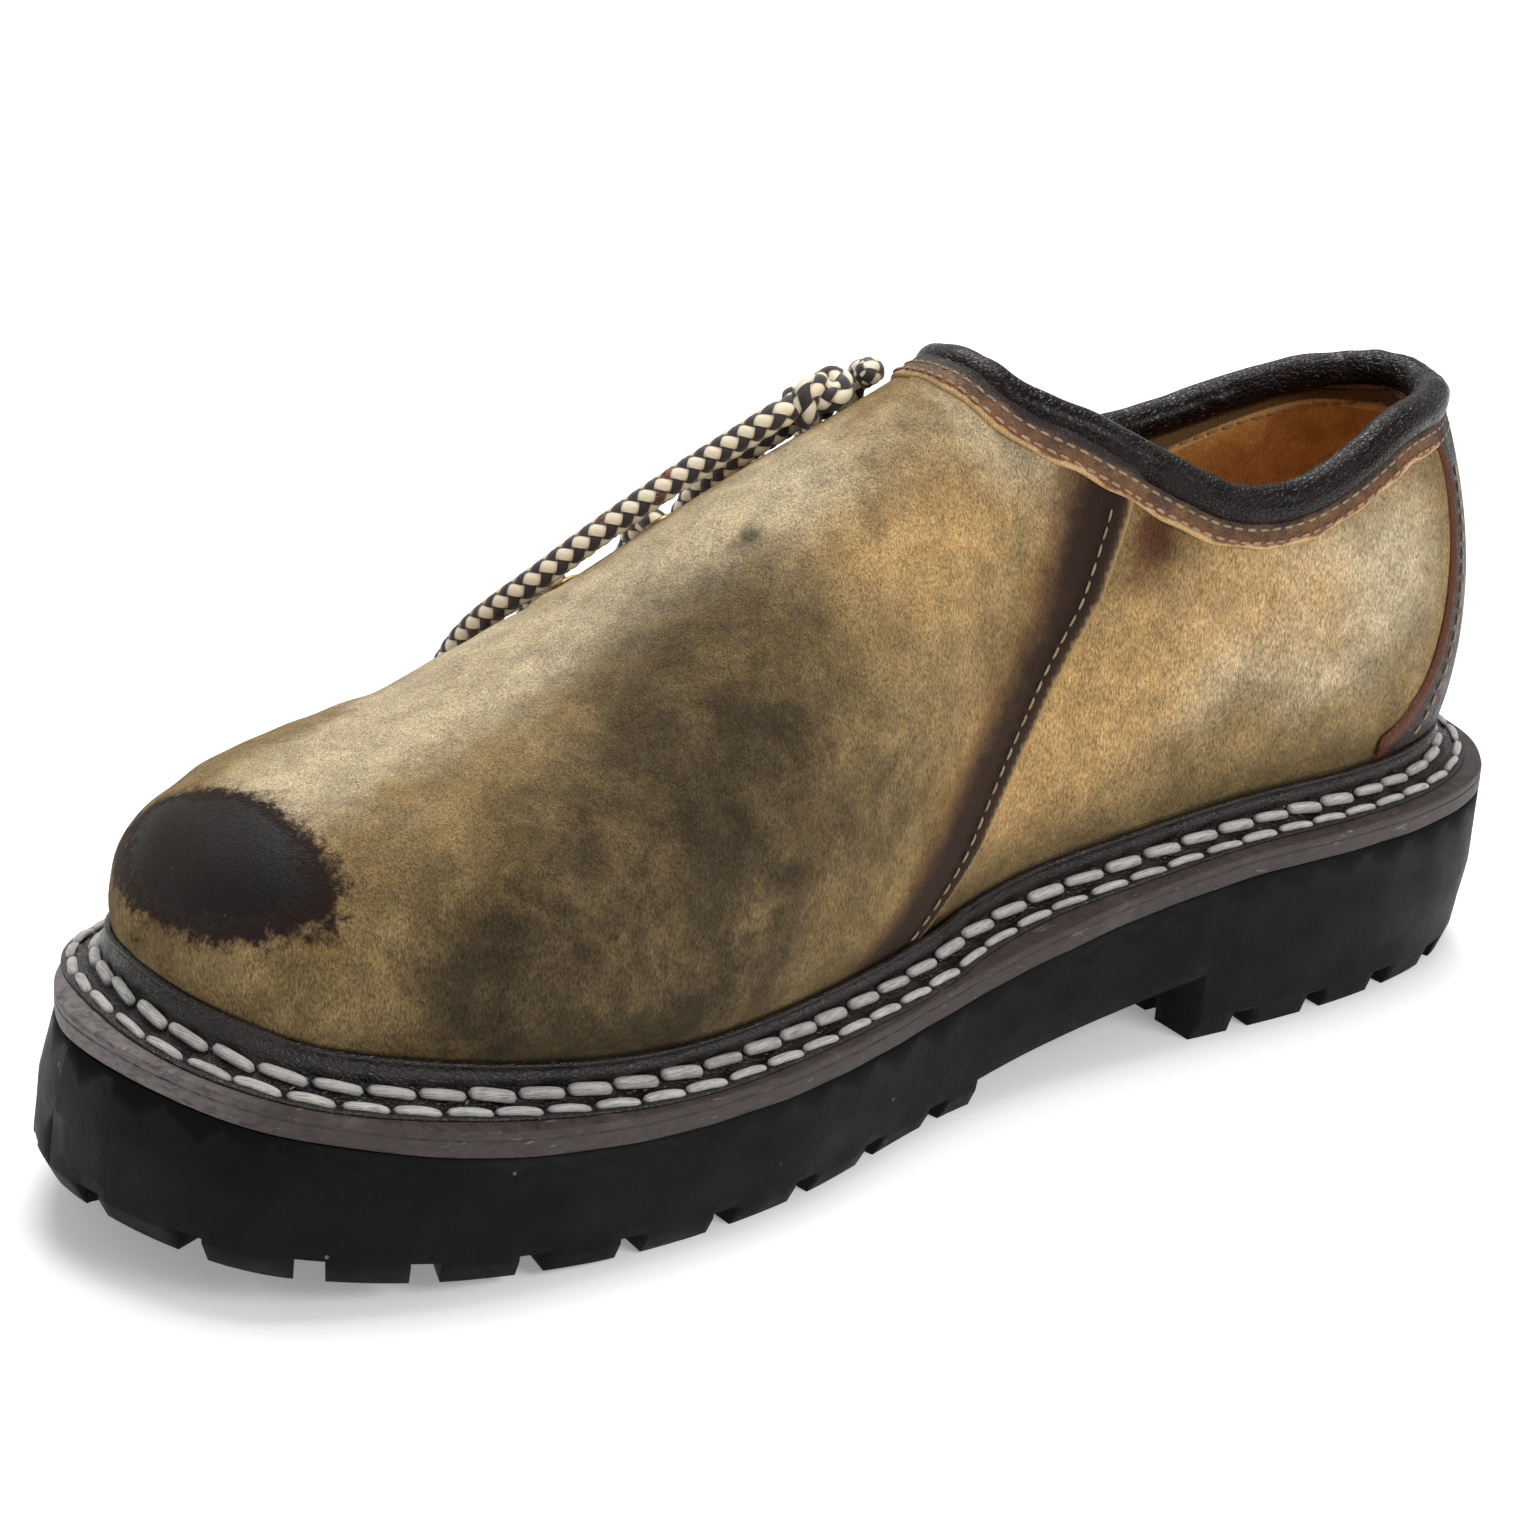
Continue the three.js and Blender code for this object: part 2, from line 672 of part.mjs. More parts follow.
// Turns a shape made about +Y so that it stands on the leather at an eyelet
function seat(geometry, frame) {
  const turn = new THREE.Quaternion().setFromUnitVectors(new THREE.Vector3(0, 1, 0), frame.normal);
  return solidFrom(geometry.applyQuaternion(turn).translate(...frame.middle.toArray()));
}

function eyeletHole(frame) {
  const radius = eyeletBore + eyeletWall + 1.5 * clearance;
  return seat(new THREE.CylinderGeometry(radius, radius, 4 * wall, 10), frame);
}

function makeEyelet(frame, depth) {
  const barrel = eyeletBore + eyeletWall;
  const profile = [
    [eyeletBore, -depth],
    [barrel, -depth],
    [barrel, clearance],
    [barrel + eyeletRim, clearance],
    [barrel + 0.7 * eyeletRim, clearance + eyeletHead],
    [eyeletBore, clearance + eyeletHead],
    [eyeletBore, -depth],
  ].map(([radius, height]) => new THREE.Vector2(radius, height));
  return seat(new THREE.LatheGeometry(profile, 8), frame);
}

const eyeletFrames = [];
for (let row = 0; row < eyeletRows; row += 1) {
  for (const side of ['inner', 'outer']) eyeletFrames.push({ row, side, ...eyeletFrame(row, side) });
}
const frameOf = (row, side) => eyeletFrames.find((frame) => frame.row === row && frame.side === side);

function makeUpper() {
  const holes = eyeletFrames.map(eyeletHole);
  return upperForm(0)
    .subtract(form(-wall))
    .subtract(below((s) => midsoleTop(s) + clearance))
    .subtract(collarOpening(0))
    .subtract(makeSlit())
    .subtract(Manifold.union(holes));
}

// Distance along the foot at which a seam meets the welt
function seamFoot(seam) {
  const foot = seam.at(-1).along * soleLength;
  const level = (midsoleTop(foot) + weltRise) / instepHeight;
  const above = seam.findLastIndex((row) => row.height > level);
  const part = share(level, seam[above].height, seam[above + 1].height);
  return THREE.MathUtils.lerp(seam[above].along, seam[above + 1].along, part) * soleLength;
}

// Point beside the upper's foot, at a share of the way from heel to toe on one side
function besideUpper(amount, side, height, gap) {
  const keelAt = (low, high) => {
    const rising = last.keel(high) > last.keel(low);
    for (let step = 0; step < 40; step += 1) {
      const middle = (low + high) / 2;
      if (last.keel(middle) < height === rising) low = middle;
      else high = middle;
    }
    return (low + high) / 2;
  };
  const end = lastTable.length - 1;
  const position = THREE.MathUtils.lerp(keelAt(0, 3), keelAt(end - 4, end), amount);
  const belly = last.belly(position);
  const tilt = Math.asin(THREE.MathUtils.clamp((height - belly) / (belly - last.keel(position)), -1, 1));
  const angle = side === 'inner' ? tilt : Math.PI - tilt;
  const foot = seamFoot(side === 'inner' ? innerSeam : outerSeam);
  const vamp = THREE.MathUtils.smoothstep(last.along(position), foot - 3 * notchWidth, foot - notchWidth);
  const offset = gap - quarterStep * (1 - vamp);
  return lastPoint(position, angle).addScaledVector(lastNormal(position, angle), offset);
}

// Welt: a ledge on the midsole and a rise against the upper
function makeWelt() {
  const gap = 1.5 * clearance;
  const section = (amount, side) => {
    const edge = outlinePoint((soleTable.length - 1) * amount, side, weltInset);
    const bottom = midsoleTop(edge.y) + 2 * clearance;
    return [
      new THREE.Vector3(edge.x, toY(edge.y), bottom),
      new THREE.Vector3(edge.x, toY(edge.y), bottom + weltThickness),
      besideUpper(amount, side, gap + weltThickness, gap + weltThickness),
      besideUpper(amount, side, weltRise, gap + 0.7 * weltThickness),
      besideUpper(amount, side, weltRise, gap),
      besideUpper(amount, side, weltRise / 2, gap),
      besideUpper(amount, side, 2 * clearance, gap),
    ];
  };
  const amounts = [];
  for (let i = 0; i <= weltSteps; i += 1) amounts.push((1 - Math.cos((Math.PI * i) / weltSteps)) / 2);
  const inner = amounts.map((amount) => section(amount, 'inner'));
  const outer = amounts.slice(1, -1).reverse().map((amount) => section(amount, 'outer'));
  return loop([...inner, ...outer]);
}

function makeInsole() {
  return form(-wall - clearance)
    .intersect(below((s) => midsoleTop(s) + clearance + insoleThickness))
    .subtract(below((s) => midsoleTop(s) + clearance));
}

// Back strip over the heel seam, between the welt and the collar binding
function makeHeelStrip(rollSpace) {
  const right = stripTable.map((row) => [row.half * lastBallWidth, row.height * instepHeight]);
  const left = right.map(([x, z]) => [-x, z]).reverse();
  const under = clearance - quarterStep;
  return form(under + stripThickness)
    .subtract(form(under))
    .intersect(backPrism([...right, ...left], -0.1 * soleLength, 0.15 * soleLength))
    .subtract(below((s) => midsoleTop(s) + weltRise + clearance))
    .subtract(collarOpening(0))
    .subtract(rollSpace);
}

// Rolled binding along the collar's edge, from one side of the slit round the back to the other
function collarRoll(radius) {
  const points = [];
  for (let i = 0; i <= collarSteps; i += 1) {
    const { point, normal } = collarFrame(THREE.MathUtils.lerp(collarSlit.from, collarSlit.to, i / collarSteps));
    points.push(point.addScaledVector(normal, -(wall + quarterStep) / 2));
  }
  return tube(points, radius, collarSteps);
}

// Shares of the collar's length at which the slit's two sides meet it
const collarSlit = (() => {
  const samples = 400;
  const slitAngle = slitTable[0].angle;
  let at = 1;
  for (let i = samples; i > 0; i -= 1) {
    if (collarCurve.getPoint(i / samples).y < slitAngle) at = i / samples;
    else break;
  }
  const spot = collarCurve.getPoint(at);
  const girth = offLast(spot.x, spot.y, 0).distanceTo(offLast(spot.x, spot.y + 1, 0));
  const halfAngle = (slitWidth / 2 + clearance) / girth;
  const reach = (limit, step) => {
    let u = at;
    while (Math.abs(collarCurve.getPoint(((u % 1) + 1) % 1).y - slitAngle) < limit) u += step;
    return u;
  };
  return { from: reach(halfAngle, 0.001) - 1, to: reach(halfAngle, -0.001) };
})();

function makeBinding() {
  const leather = upperForm(clearance).subtract(form(-wall - clearance)).subtract(collarOpening(clearance));
  return collarRoll(bindingRadius).subtract(leather);
}

// Tongue: a sheet under the slit, close under the vamp in front and below the binding at the back
function makeTongue() {
  const rows = 12;
  const columns = 6;
  const firstS = 0.385 * soleLength;
  const lastS = 0.7 * soleLength;
  const slit = naturalSpline(slitTable.map((entry) => entry.angle));
  const along = naturalSpline(slitTable.map((entry) => entry.along * soleLength));
  const rings = [];
  for (let r = 0; r <= rows; r += 1) {
    const s = THREE.MathUtils.lerp(firstS, lastS, r / rows);
    const middle = slit(positionAt(along, slitTable.length, Math.min(s, lastEyelet)));
    const girth = offLast(s, middle + 1, 0).distanceTo(offLast(s, middle - 1, 0)) / 2;
    const half = (slitWidth / 2 + tongueOverlap) / girth;
    const deep = THREE.MathUtils.lerp(
      (wall + quarterStep) / 2 + bindingRadius + clearance,
      wall,
      THREE.MathUtils.smoothstep(s, firstEyelet, lastEyelet),
    );
    const layer = (depth) => {
      const points = [];
      for (let c = 0; c <= columns; c += 1) {
        points.push(offLast(s, middle - half + (2 * half * c) / columns, -depth));
      }
      return points;
    };
    rings.push([...layer(deep), ...layer(deep + tongueThickness).reverse()]);
  }
  return loft(rings).intersect(form(-wall - clearance));
}

// Height of a cord that lies on an eyelet's head
const overHead = clearance + eyeletHead + cordRadius + clearance;

// Start of a lace in an eyelet: inside the bore, and just above its head
function laceStart(frame) {
  const inBore = frame.middle.clone().addScaledVector(frame.normal, -0.4 * wall);
  const above = frame.middle.clone().addScaledVector(frame.normal, 0.4 * overHead);
  return [inBore, above];
}

// Straight bar of lace over the slit between two eyelets
function makeBar(row) {
  const inner = frameOf(row, 'inner');
  const outer = frameOf(row, 'outer');
  const over = (amount) => {
    const point = inner.middle.clone().lerp(outer.middle, amount);
    const normal = inner.normal.clone().lerp(outer.normal, amount).normalize();
    return point.addScaledVector(normal, overHead + 1.2 * Math.sin(Math.PI * amount));
  };
  const route = [...laceStart(inner), over(0.16), over(0.36), over(0.64), over(0.84), ...laceStart(outer).reverse()];
  return tube(route, cordRadius - clearance, 10);
}

// Lace from a top eyelet to the knot
function makeTie(side, route) {
  const points = route.map((row) => offLast(row.along * soleLength, row.angle, row.lift));
  return tube([...laceStart(frameOf(0, side)), ...points], cordRadius - clearance, 10);
}

const innerTieRoute = [
  { along: 0.441, angle: 122.5, lift: 5 },
  { along: 0.444, angle: 117.5, lift: 3.6 },
  { along: 0.453, angle: 114.5, lift: 3.2 },
  { along: 0.462, angle: 113.5, lift: 3.2 },
];
const outerTieRoute = [
  { along: 0.452, angle: 139, lift: 5.2 },
  { along: 0.46, angle: 133, lift: 5.2 },
  { along: 0.468, angle: 127, lift: 4.4 },
];

// Knot: two rings of cord fused into one lump
const knotPlace = { along: 0.487, angle: 115.5, lift: 3.2 };
function makeKnot() {
  const middle = offLast(knotPlace.along * soleLength, knotPlace.angle, knotPlace.lift);
  const normal = offLast(knotPlace.along * soleLength, knotPlace.angle, knotPlace.lift + 1).sub(middle);
  const ring = (tilt, forward, lift) => {
    const turn = new THREE.Quaternion().setFromUnitVectors(new THREE.Vector3(0, 0, 1), normal);
    const geometry = new THREE.TorusGeometry(1.3 * cordRadius, cordRadius, 6, 9);
    return solidFrom(geometry
      .rotateX(tilt)
      .applyQuaternion(turn)
      .translate(...middle.clone().addScaledVector(normal, lift).add(new THREE.Vector3(0, forward, 0)).toArray()));
  };
  return ring(0, -2, 0).add(ring(0.35, 2.4, 1.3));
}

function makeLaceEnd(route, steps) {
  return tube(route.map((row) => offLast(row.along * soleLength, row.angle, row.lift)), cordRadius, steps);
}

const finishes = {
  rubber: { color: 0x15161a, roughness: 0.72, metalness: 0 },
  midsole: { color: 0x3b3634, roughness: 0.55, metalness: 0 },
  welt: { color: 0x2a2220, roughness: 0.5, metalness: 0 },
  suede: { color: 0x8d7450, roughness: 0.95, metalness: 0 },
  binding: { color: 0x1d1412, roughness: 0.35, metalness: 0 },
  strip: { color: 0x2b1a15, roughness: 0.5, metalness: 0 },
  lining: { color: 0xa8763a, roughness: 0.85, metalness: 0 },
  brass: { color: 0x6b5230, roughness: 0.4, metalness: 1 },
  lace: { color: 0x7d6a50, roughness: 0.85, metalness: 0 },
};

// Named mesh from a solid and a finish
function piece(name, solid, finish) {
  const mesh = solid.getMesh();
  const geometry = new THREE.BufferGeometry();
  geometry.setAttribute('position', new THREE.BufferAttribute(new Float32Array(mesh.vertProperties), 3));
  geometry.setIndex(new THREE.BufferAttribute(new Uint32Array(mesh.triVerts), 1));
  geometry.computeVertexNormals();
  const item = new THREE.Mesh(geometry, new THREE.MeshStandardMaterial(finishes[finish]));
  item.name = name;
  return item;
}

const rollSpace = collarRoll(bindingRadius + 1.5 * clearance);
const shoe = new THREE.Group();
shoe.add(piece('outsole', makeOutsole(), 'rubber'));
shoe.add(piece('midsole', makeMidsole(), 'midsole'));
shoe.add(piece('welt', makeWelt(), 'welt'));
shoe.add(piece('upper', makeUpper(), 'suede'));
shoe.add(piece('heel_strip', makeHeelStrip(rollSpace), 'strip'));
shoe.add(piece('collar_binding', makeBinding(), 'binding'));
shoe.add(piece('tongue', makeTongue(), 'suede'));
shoe.add(piece('insole', makeInsole(), 'lining'));
for (const frame of eyeletFrames) {
  const depth = frame.side === 'outer' ? wall - quarterStep : wall;
  shoe.add(piece(`eyelet_${frame.side}_${frame.row + 1}`, makeEyelet(frame, depth), 'brass'));
}
for (let row = 1; row < eyeletRows; row += 1) {
  shoe.add(piece(`lace_bar_${row}`, makeBar(row), 'lace'));
}
shoe.add(piece('lace_tie_inner', makeTie('inner', innerTieRoute), 'lace'));
shoe.add(piece('lace_tie_outer', makeTie('outer', outerTieRoute), 'lace'));
shoe.add(piece('lace_knot', makeKnot(), 'lace'));
shoe.add(piece('lace_end_front', makeLaceEnd(frontEndRoute, 20), 'lace'));
shoe.add(piece('lace_end_side', makeLaceEnd(sideEndRoute, 12), 'lace'));

// The origin is under the middle of the outsole's box
const middle = new THREE.Box3().setFromObject(shoe.getObjectByName('outsole')).getCenter(new THREE.Vector3());
shoe.position.set(-middle.x, -middle.y, 0);

export default shoe;
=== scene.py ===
import bmesh
import bpy
import numpy as np
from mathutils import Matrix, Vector


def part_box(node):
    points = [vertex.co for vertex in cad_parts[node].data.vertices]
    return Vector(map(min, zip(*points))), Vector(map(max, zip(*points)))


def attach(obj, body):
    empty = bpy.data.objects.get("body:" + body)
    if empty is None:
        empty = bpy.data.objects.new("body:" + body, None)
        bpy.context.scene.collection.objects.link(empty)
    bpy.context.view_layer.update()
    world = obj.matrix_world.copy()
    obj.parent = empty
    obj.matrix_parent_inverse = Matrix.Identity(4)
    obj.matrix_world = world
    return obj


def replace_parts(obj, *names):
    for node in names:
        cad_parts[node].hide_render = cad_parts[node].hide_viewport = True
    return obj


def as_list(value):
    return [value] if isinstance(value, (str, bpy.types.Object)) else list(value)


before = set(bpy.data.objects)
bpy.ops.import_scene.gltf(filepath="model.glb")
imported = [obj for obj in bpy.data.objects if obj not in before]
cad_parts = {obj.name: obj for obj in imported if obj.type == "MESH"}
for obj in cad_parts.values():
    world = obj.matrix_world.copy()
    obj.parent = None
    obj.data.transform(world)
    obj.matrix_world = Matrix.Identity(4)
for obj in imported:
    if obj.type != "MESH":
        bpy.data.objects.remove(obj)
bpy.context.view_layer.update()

# Suede haferl shoe, right foot, dressed around the CAD solids.
# Shapes are worked out in millimetres in the CAD source's own frame: the toe points to -Y, the inner
# side of the foot to +X, and s is the distance from the back of the sole. to_row() brings points
# into the row frame, in metres.

rng = np.random.default_rng(7)

# Sizes of the CAD source
sole_length = 300.0
sole_ball_width = 110.0
last_ball_width = 98.0
instep_height = 98.0
clearance = 0.3
heel_thickness = 34.0
fore_thickness = 22.5
toe_spring = 14.0
midsole_thickness = 5.0
wall = 3.0
quarter_step = 1.2
binding_radius = 3.75
slit_width = 8.0
tongue_thickness = 2.0
tongue_overlap = 11.0
cord_radius = 2.6
eyelet_rows = 4
eyelet_spread = 9.0
eyelet_bore = 2.8
eyelet_wall = 0.4
eyelet_head = 0.8
spring_start = 0.68 * sole_length
slope_start = 0.23 * sole_length
slope_end = 0.55 * sole_length
first_eyelet = 0.447 * sole_length
last_eyelet = 0.627 * sole_length
slit_back = 0.28 * sole_length

# Half widths of the sole's rim: along as a share of its length, inner and outer of its ball width
sole_table = {
    "along": [0, 0.027, 0.1, 0.2, 0.3, 0.4, 0.5, 0.6, 0.683, 0.767, 0.85, 0.917, 0.967, 1],
    "inner": [0, 0.23, 0.343, 0.372, 0.357, 0.342, 0.367, 0.444, 0.479, 0.481, 0.447, 0.371, 0.256, 0],
    "outer": [0, 0.235, 0.355, 0.365, 0.382, 0.41, 0.455, 0.5, 0.518, 0.5, 0.436, 0.337, 0.217, 0],
}

# Sections of the last, as in the CAD source
last_table = {
    "along": [
        0.016, 0.027, 0.052, 0.088, 0.148, 0.24, 0.35, 0.433, 0.533, 0.633, 0.733, 0.833, 0.907, 0.947, 0.962,
    ],
    "inner": [0, 0.13, 0.225, 0.3, 0.352, 0.35, 0.317, 0.301, 0.383, 0.47, 0.495, 0.429, 0.332, 0.19, 0],
    "outer": [0, 0.13, 0.225, 0.3, 0.35, 0.362, 0.378, 0.408, 0.46, 0.5, 0.5, 0.444, 0.337, 0.193, 0],
    "crown": [0.3, 0.54, 0.755, 0.96, 1.13, 1.2, 1.1, 1, 0.908, 0.735, 0.571, 0.459, 0.367, 0.245, 0.133],
    "keel": [0.3, 0.06, -0.06, -0.1, -0.1, -0.1, -0.1, -0.1, -0.1, -0.1, -0.1, -0.1, -0.07, 0.01, 0.133],
    "belly": [
        0.3, 0.29, 0.28, 0.27, 0.255, 0.225, 0.215, 0.225, 0.225, 0.215, 0.204, 0.194, 0.163, 0.143, 0.133,
    ],
    "ridge": [0, 0, 0, 0, 0, 0, 0.02, 0.04, 0.07, 0.09, 0.09, 0.077, 0.055, 0.03, 0],
    "round": [1, 1.15, 1.3, 1.4, 1.35, 1.1, 1, 1, 1.03, 0.98, 0.9, 0.82, 0.8, 0.8, 0.8],
}

# Edge of the collar: share of the length and degrees round the last, from the front over the inner side
collar_table = [
    (0.435, 90), (0.421, 67), (0.38, 50), (0.332, 36.5), (0.288, 28.5), (0.245, 26), (0.2, 28), (0.148, 34),
    (0.1, 41), (0.07, 53), (0.057, 66), (0.051, 90), (0.057, 114), (0.073, 133), (0.105, 146), (0.148, 153.5),
    (0.2, 157), (0.245, 157), (0.29, 152.5), (0.335, 143), (0.382, 128.5), (0.421, 112),
]

# Middle of the lacing slit: share of the length and degrees round the last
slit_table = [(0.3, 135), (0.447, 136), (0.507, 139), (0.567, 144), (0.627, 149), (0.66, 151)]

# Seams from the side: share of the length and height in instep heights
inner_seam = [
    (0.33, 1.35), (0.364, 1.05), (0.383, 0.915), (0.41, 0.8), (0.442, 0.65), (0.473, 0.5), (0.503, 0.4),
    (0.545, 0.25),
]
outer_seam = [(0.68, 1), (0.655, 0.7), (0.625, 0.5), (0.6, 0.25)]

# Back strip: half width and height, both in instep heights
strip_table = [
    (0.33, 0.4), (0.335, 0.5), (0.335, 0.59), (0.32, 0.67), (0.29, 0.835), (0.25, 1.03), (0.22, 1.3),
]

# Lace routes: share of the length, degrees round the last, lift off the leather
front_end_route = [
    (0.515, 114, 4.9), (0.533, 116.5, 4.7), (0.55, 119, 4.6), (0.57, 121.5, 4.5), (0.59, 123.5, 4.4),
    (0.61, 125.5, 4.2), (0.63, 128, 3.8), (0.647, 131, 3.3), (0.661, 135.5, 3.1), (0.671, 141.5, 3.1),
    (0.677, 148, 3.1), (0.68, 155, 3.1), (0.681, 162, 3.1), (0.681, 169, 3.1), (0.68, 176, 3.1),
]


def share(value, start, end):
    """How far value is between start and end, held between 0 and 1"""
    return np.clip((value - start) / (end - start), 0, 1)


def smooth(value, start, end):
    """Soft step from 0 at start to 1 at end"""
    part = share(value, start, end)
    return part * part * (3 - 2 * part)


def natural_spline(values):
    """Cubic through equally spaced values without bend at its ends, as a function of the place in the list"""
    values = np.asarray(values, float)
    count = len(values)
    matrix = np.eye(count)
    load = np.zeros(count)
    for i in range(1, count - 1):
        matrix[i, i - 1:i + 2] = 1, 4, 1
        load[i] = 6 * (values[i - 1] - 2 * values[i] + values[i + 1])
    bend = np.linalg.solve(matrix, load)

    def curve(place):
        place = np.asarray(place, float)
        i = np.clip(np.floor(place).astype(int), 0, count - 2)
        b = place - i
        a = 1 - b
        return a * values[i] + b * values[i + 1] + ((a**3 - a) * bend[i] + (b**3 - b) * bend[i + 1]) / 6

    return curve


def table_splines(table, scales, signs, swaps=None):
    """A spline per column, with a mirrored ghost row past each pole so that the surface closes smoothly"""
    splines = {}
    for column, scale in scales.items():
        own = table[column]
        source = table[(swaps or {}).get(column, column)]
        if signs[column] == "reflect":
            ghosts = 2 * own[0] - own[1], 2 * own[-1] - own[-2]
        else:
            ghosts = signs[column] * source[1], signs[column] * source[-2]
        spline = natural_spline(np.array([ghosts[0], *own, ghosts[1]]) * scale)
        splines[column] = lambda place, spline=spline: spline(np.asarray(place) + 1)
    return splines


sole = table_splines(
    sole_table,
    {"along": sole_length, "inner": sole_ball_width, "outer": sole_ball_width},
    {"along": 1, "inner": -1, "outer": -1},
)
last = table_splines(
    last_table,
    {
        "along": sole_length, "inner": last_ball_width, "outer": last_ball_width, "ridge": last_ball_width,
        "crown": instep_height, "keel": instep_height, "belly": instep_height, "round": 1,
    },
    {
        "along": 1, "inner": -1, "outer": -1, "ridge": -1, "crown": 1, "keel": 1, "belly": "reflect",
        "round": 1,
    },
    {"crown": "keel", "keel": "crown"},
)
last_end = len(last_table["along"]) - 1
sole_end = len(sole_table["along"]) - 1
dense_places = np.linspace(0, last_end, 4001)
dense_along = last["along"](dense_places)


def place_of(s):
    """Place in the last's table at a distance from the back of the sole"""
    return np.interp(s, dense_along, dense_places)


def rim_height(s):
    """Height of the outsole's rim: the heel's, then the forefoot's by a soft step, then the square of the
    toe spring's share"""
    return (
        heel_thickness
        + (fore_thickness - heel_thickness) * smooth(s, slope_start, slope_end)
        + toe_spring * share(s, spring_start, sole_length) ** 2
    )


def midsole_top(s):
    """Height of the midsole's upper face"""
    return rim_height(s) + midsole_thickness


def stack(x, y, z):
    return np.stack(np.broadcast_arrays(x, y, z), -1)


def last_point(place, angle):
    """Section of the last: across is the ridge plus the reach times |cos| to a power, up is the sine"""
    c = np.cos(angle)
    h = np.sin(angle)
    belly = last["belly"](place)
    s = last["along"](place)
    reach = np.where(c >= 0, last["inner"](place), -last["outer"](place))
    ridge = last["ridge"](place)
    above = ridge + (reach - ridge) * np.abs(c) ** last["round"](place)
    below = reach * np.abs(c) ** 0.7
    swell = np.where(h >= 0, last["crown"](place) - belly, belly - last["keel"](place))
    return stack(np.where(h >= 0, above, below), sole_length / 2 - s, midsole_top(s) + belly + swell * h)


def foot_run(point):
    """s of a point: its distance from the back of the sole"""
    return sole_length / 2 - point[..., 1]


def unit(vectors):
    return vectors / np.maximum(np.linalg.norm(vectors, axis=-1, keepdims=True), 1e-9)


def last_normal(place, angle, step=0.02):
    """Outward normal: cross product of a small step round the section and one along the foot"""
    along = last_point(place + step, angle) - last_point(place - step, angle)
    around = last_point(place, angle + step) - last_point(place, angle - step)
    normal = unit(np.cross(around, along))
    front = np.asarray(place) >= last_end - 1e-4
    back = np.asarray(place) <= 1e-4
    normal = np.where(front[..., None], np.array([0.0, -1.0, 0.0]), normal)
    return np.where(back[..., None], np.array([0.0, 1.0, 0.0]), normal)


def off_last(s, degrees, lift):
    """Point at a distance off the last, placed by s and by degrees round the section"""
    place = place_of(s)
    angle = np.radians(degrees)
    return last_point(place, angle) + last_normal(place, angle) * np.asarray(lift, float)[..., None]


def outline_point(place, side):
    """Point of the sole's outline, as across and s"""
    sign = 1 if side == "inner" else -1
    return np.stack([sign * sole[side](place), sole["along"](place)], -1)


def catmull(points, places, closed=False):
    """Centripetal curve through points, as three.js draws it, at shares of its number of spans"""
    points = np.asarray(points, float)
    count = len(points)
    spans = count if closed else count - 1
    where = np.asarray(places, float) * spans
    i = np.floor(where).astype(int)
    i = i % count if closed else np.clip(i, 0, spans - 1)
    weight = where - np.floor(where) if closed else where - i
    if closed:
        p0, p1, p2, p3 = (points[(i + k) % count] for k in (-1, 0, 1, 2))
    else:
        padded = np.vstack([2 * points[0] - points[1], points, 2 * points[-1] - points[-2]])
        p0, p1, p2, p3 = (padded[i + k] for k in (0, 1, 2, 3))
    gap = lambda a, b: np.maximum(np.linalg.norm(a - b, axis=-1, keepdims=True) ** 0.5, 1e-4)
    t0, t1, t2 = gap(p0, p1), gap(p1, p2), gap(p2, p3)
    m1 = ((p1 - p0) / t0 - (p2 - p0) / (t0 + t1) + (p2 - p1) / t1) * t1
    m2 = ((p2 - p1) / t1 - (p3 - p1) / (t1 + t2) + (p3 - p2) / t2) * t1
    w = weight[..., None]
    return (
        p1 + m1 * w + (-3 * p1 + 3 * p2 - 2 * m1 - m2) * w**2 + (2 * p1 - 2 * p2 + m1 + m2) * w**3
    )


def run_of(points):
    """Distance along a line at each of its points"""
    return np.concatenate([[0], np.cumsum(np.linalg.norm(np.diff(points, axis=0), axis=1))])


def sampled(at, run, points):
    """Points of a line at given places of its run"""
    return np.stack([np.interp(at, run, points[:, k]) for k in range(points.shape[1])], -1)


def even(points, count, closed=False):
    """Points spaced evenly by length along a dense line"""
    points = np.vstack([points, points[:1]]) if closed else points
    run = run_of(points)
    at = np.linspace(0, run[-1], count + 1)[:-1] if closed else np.linspace(0, run[-1], count)
    return sampled(at, run, points)


def line_length(points):
    return float(np.linalg.norm(np.diff(points, axis=0), axis=1).sum())


# Shift from the CAD source's own origin to the middle of the outsole's box
_, sole_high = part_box("outsole")
stations = np.linspace(0, sole_end, 34)
shift = np.array([
    (sole["outer"](stations).max() - sole["inner"](stations).max()) / 2,
    sole_high.y * 1000 - sole_length / 2,
    0.0,
])


def to_row(points):
    return (np.asarray(points) + shift) / 1000


# Meshes


def merged(points, faces):
    """Joins points that share a place, and drops faces that have shrunk to a line"""
    keys = np.round(points * 2000).astype(np.int64)
    _, first, index = np.unique(keys, axis=0, return_index=True, return_inverse=True)
    index = index.ravel()
    kept = []
    for face in (index[np.asarray(faces)]).tolist():
        corners = [c for k, c in enumerate(face) if c != face[k - 1]]
        if len(set(corners)) == len(corners) and len(corners) > 2:
            kept.append(corners)
    return first, kept


def add_object(name, data):
    thing = bpy.data.objects.new(name, data)
    bpy.context.scene.collection.objects.link(thing)
    return thing


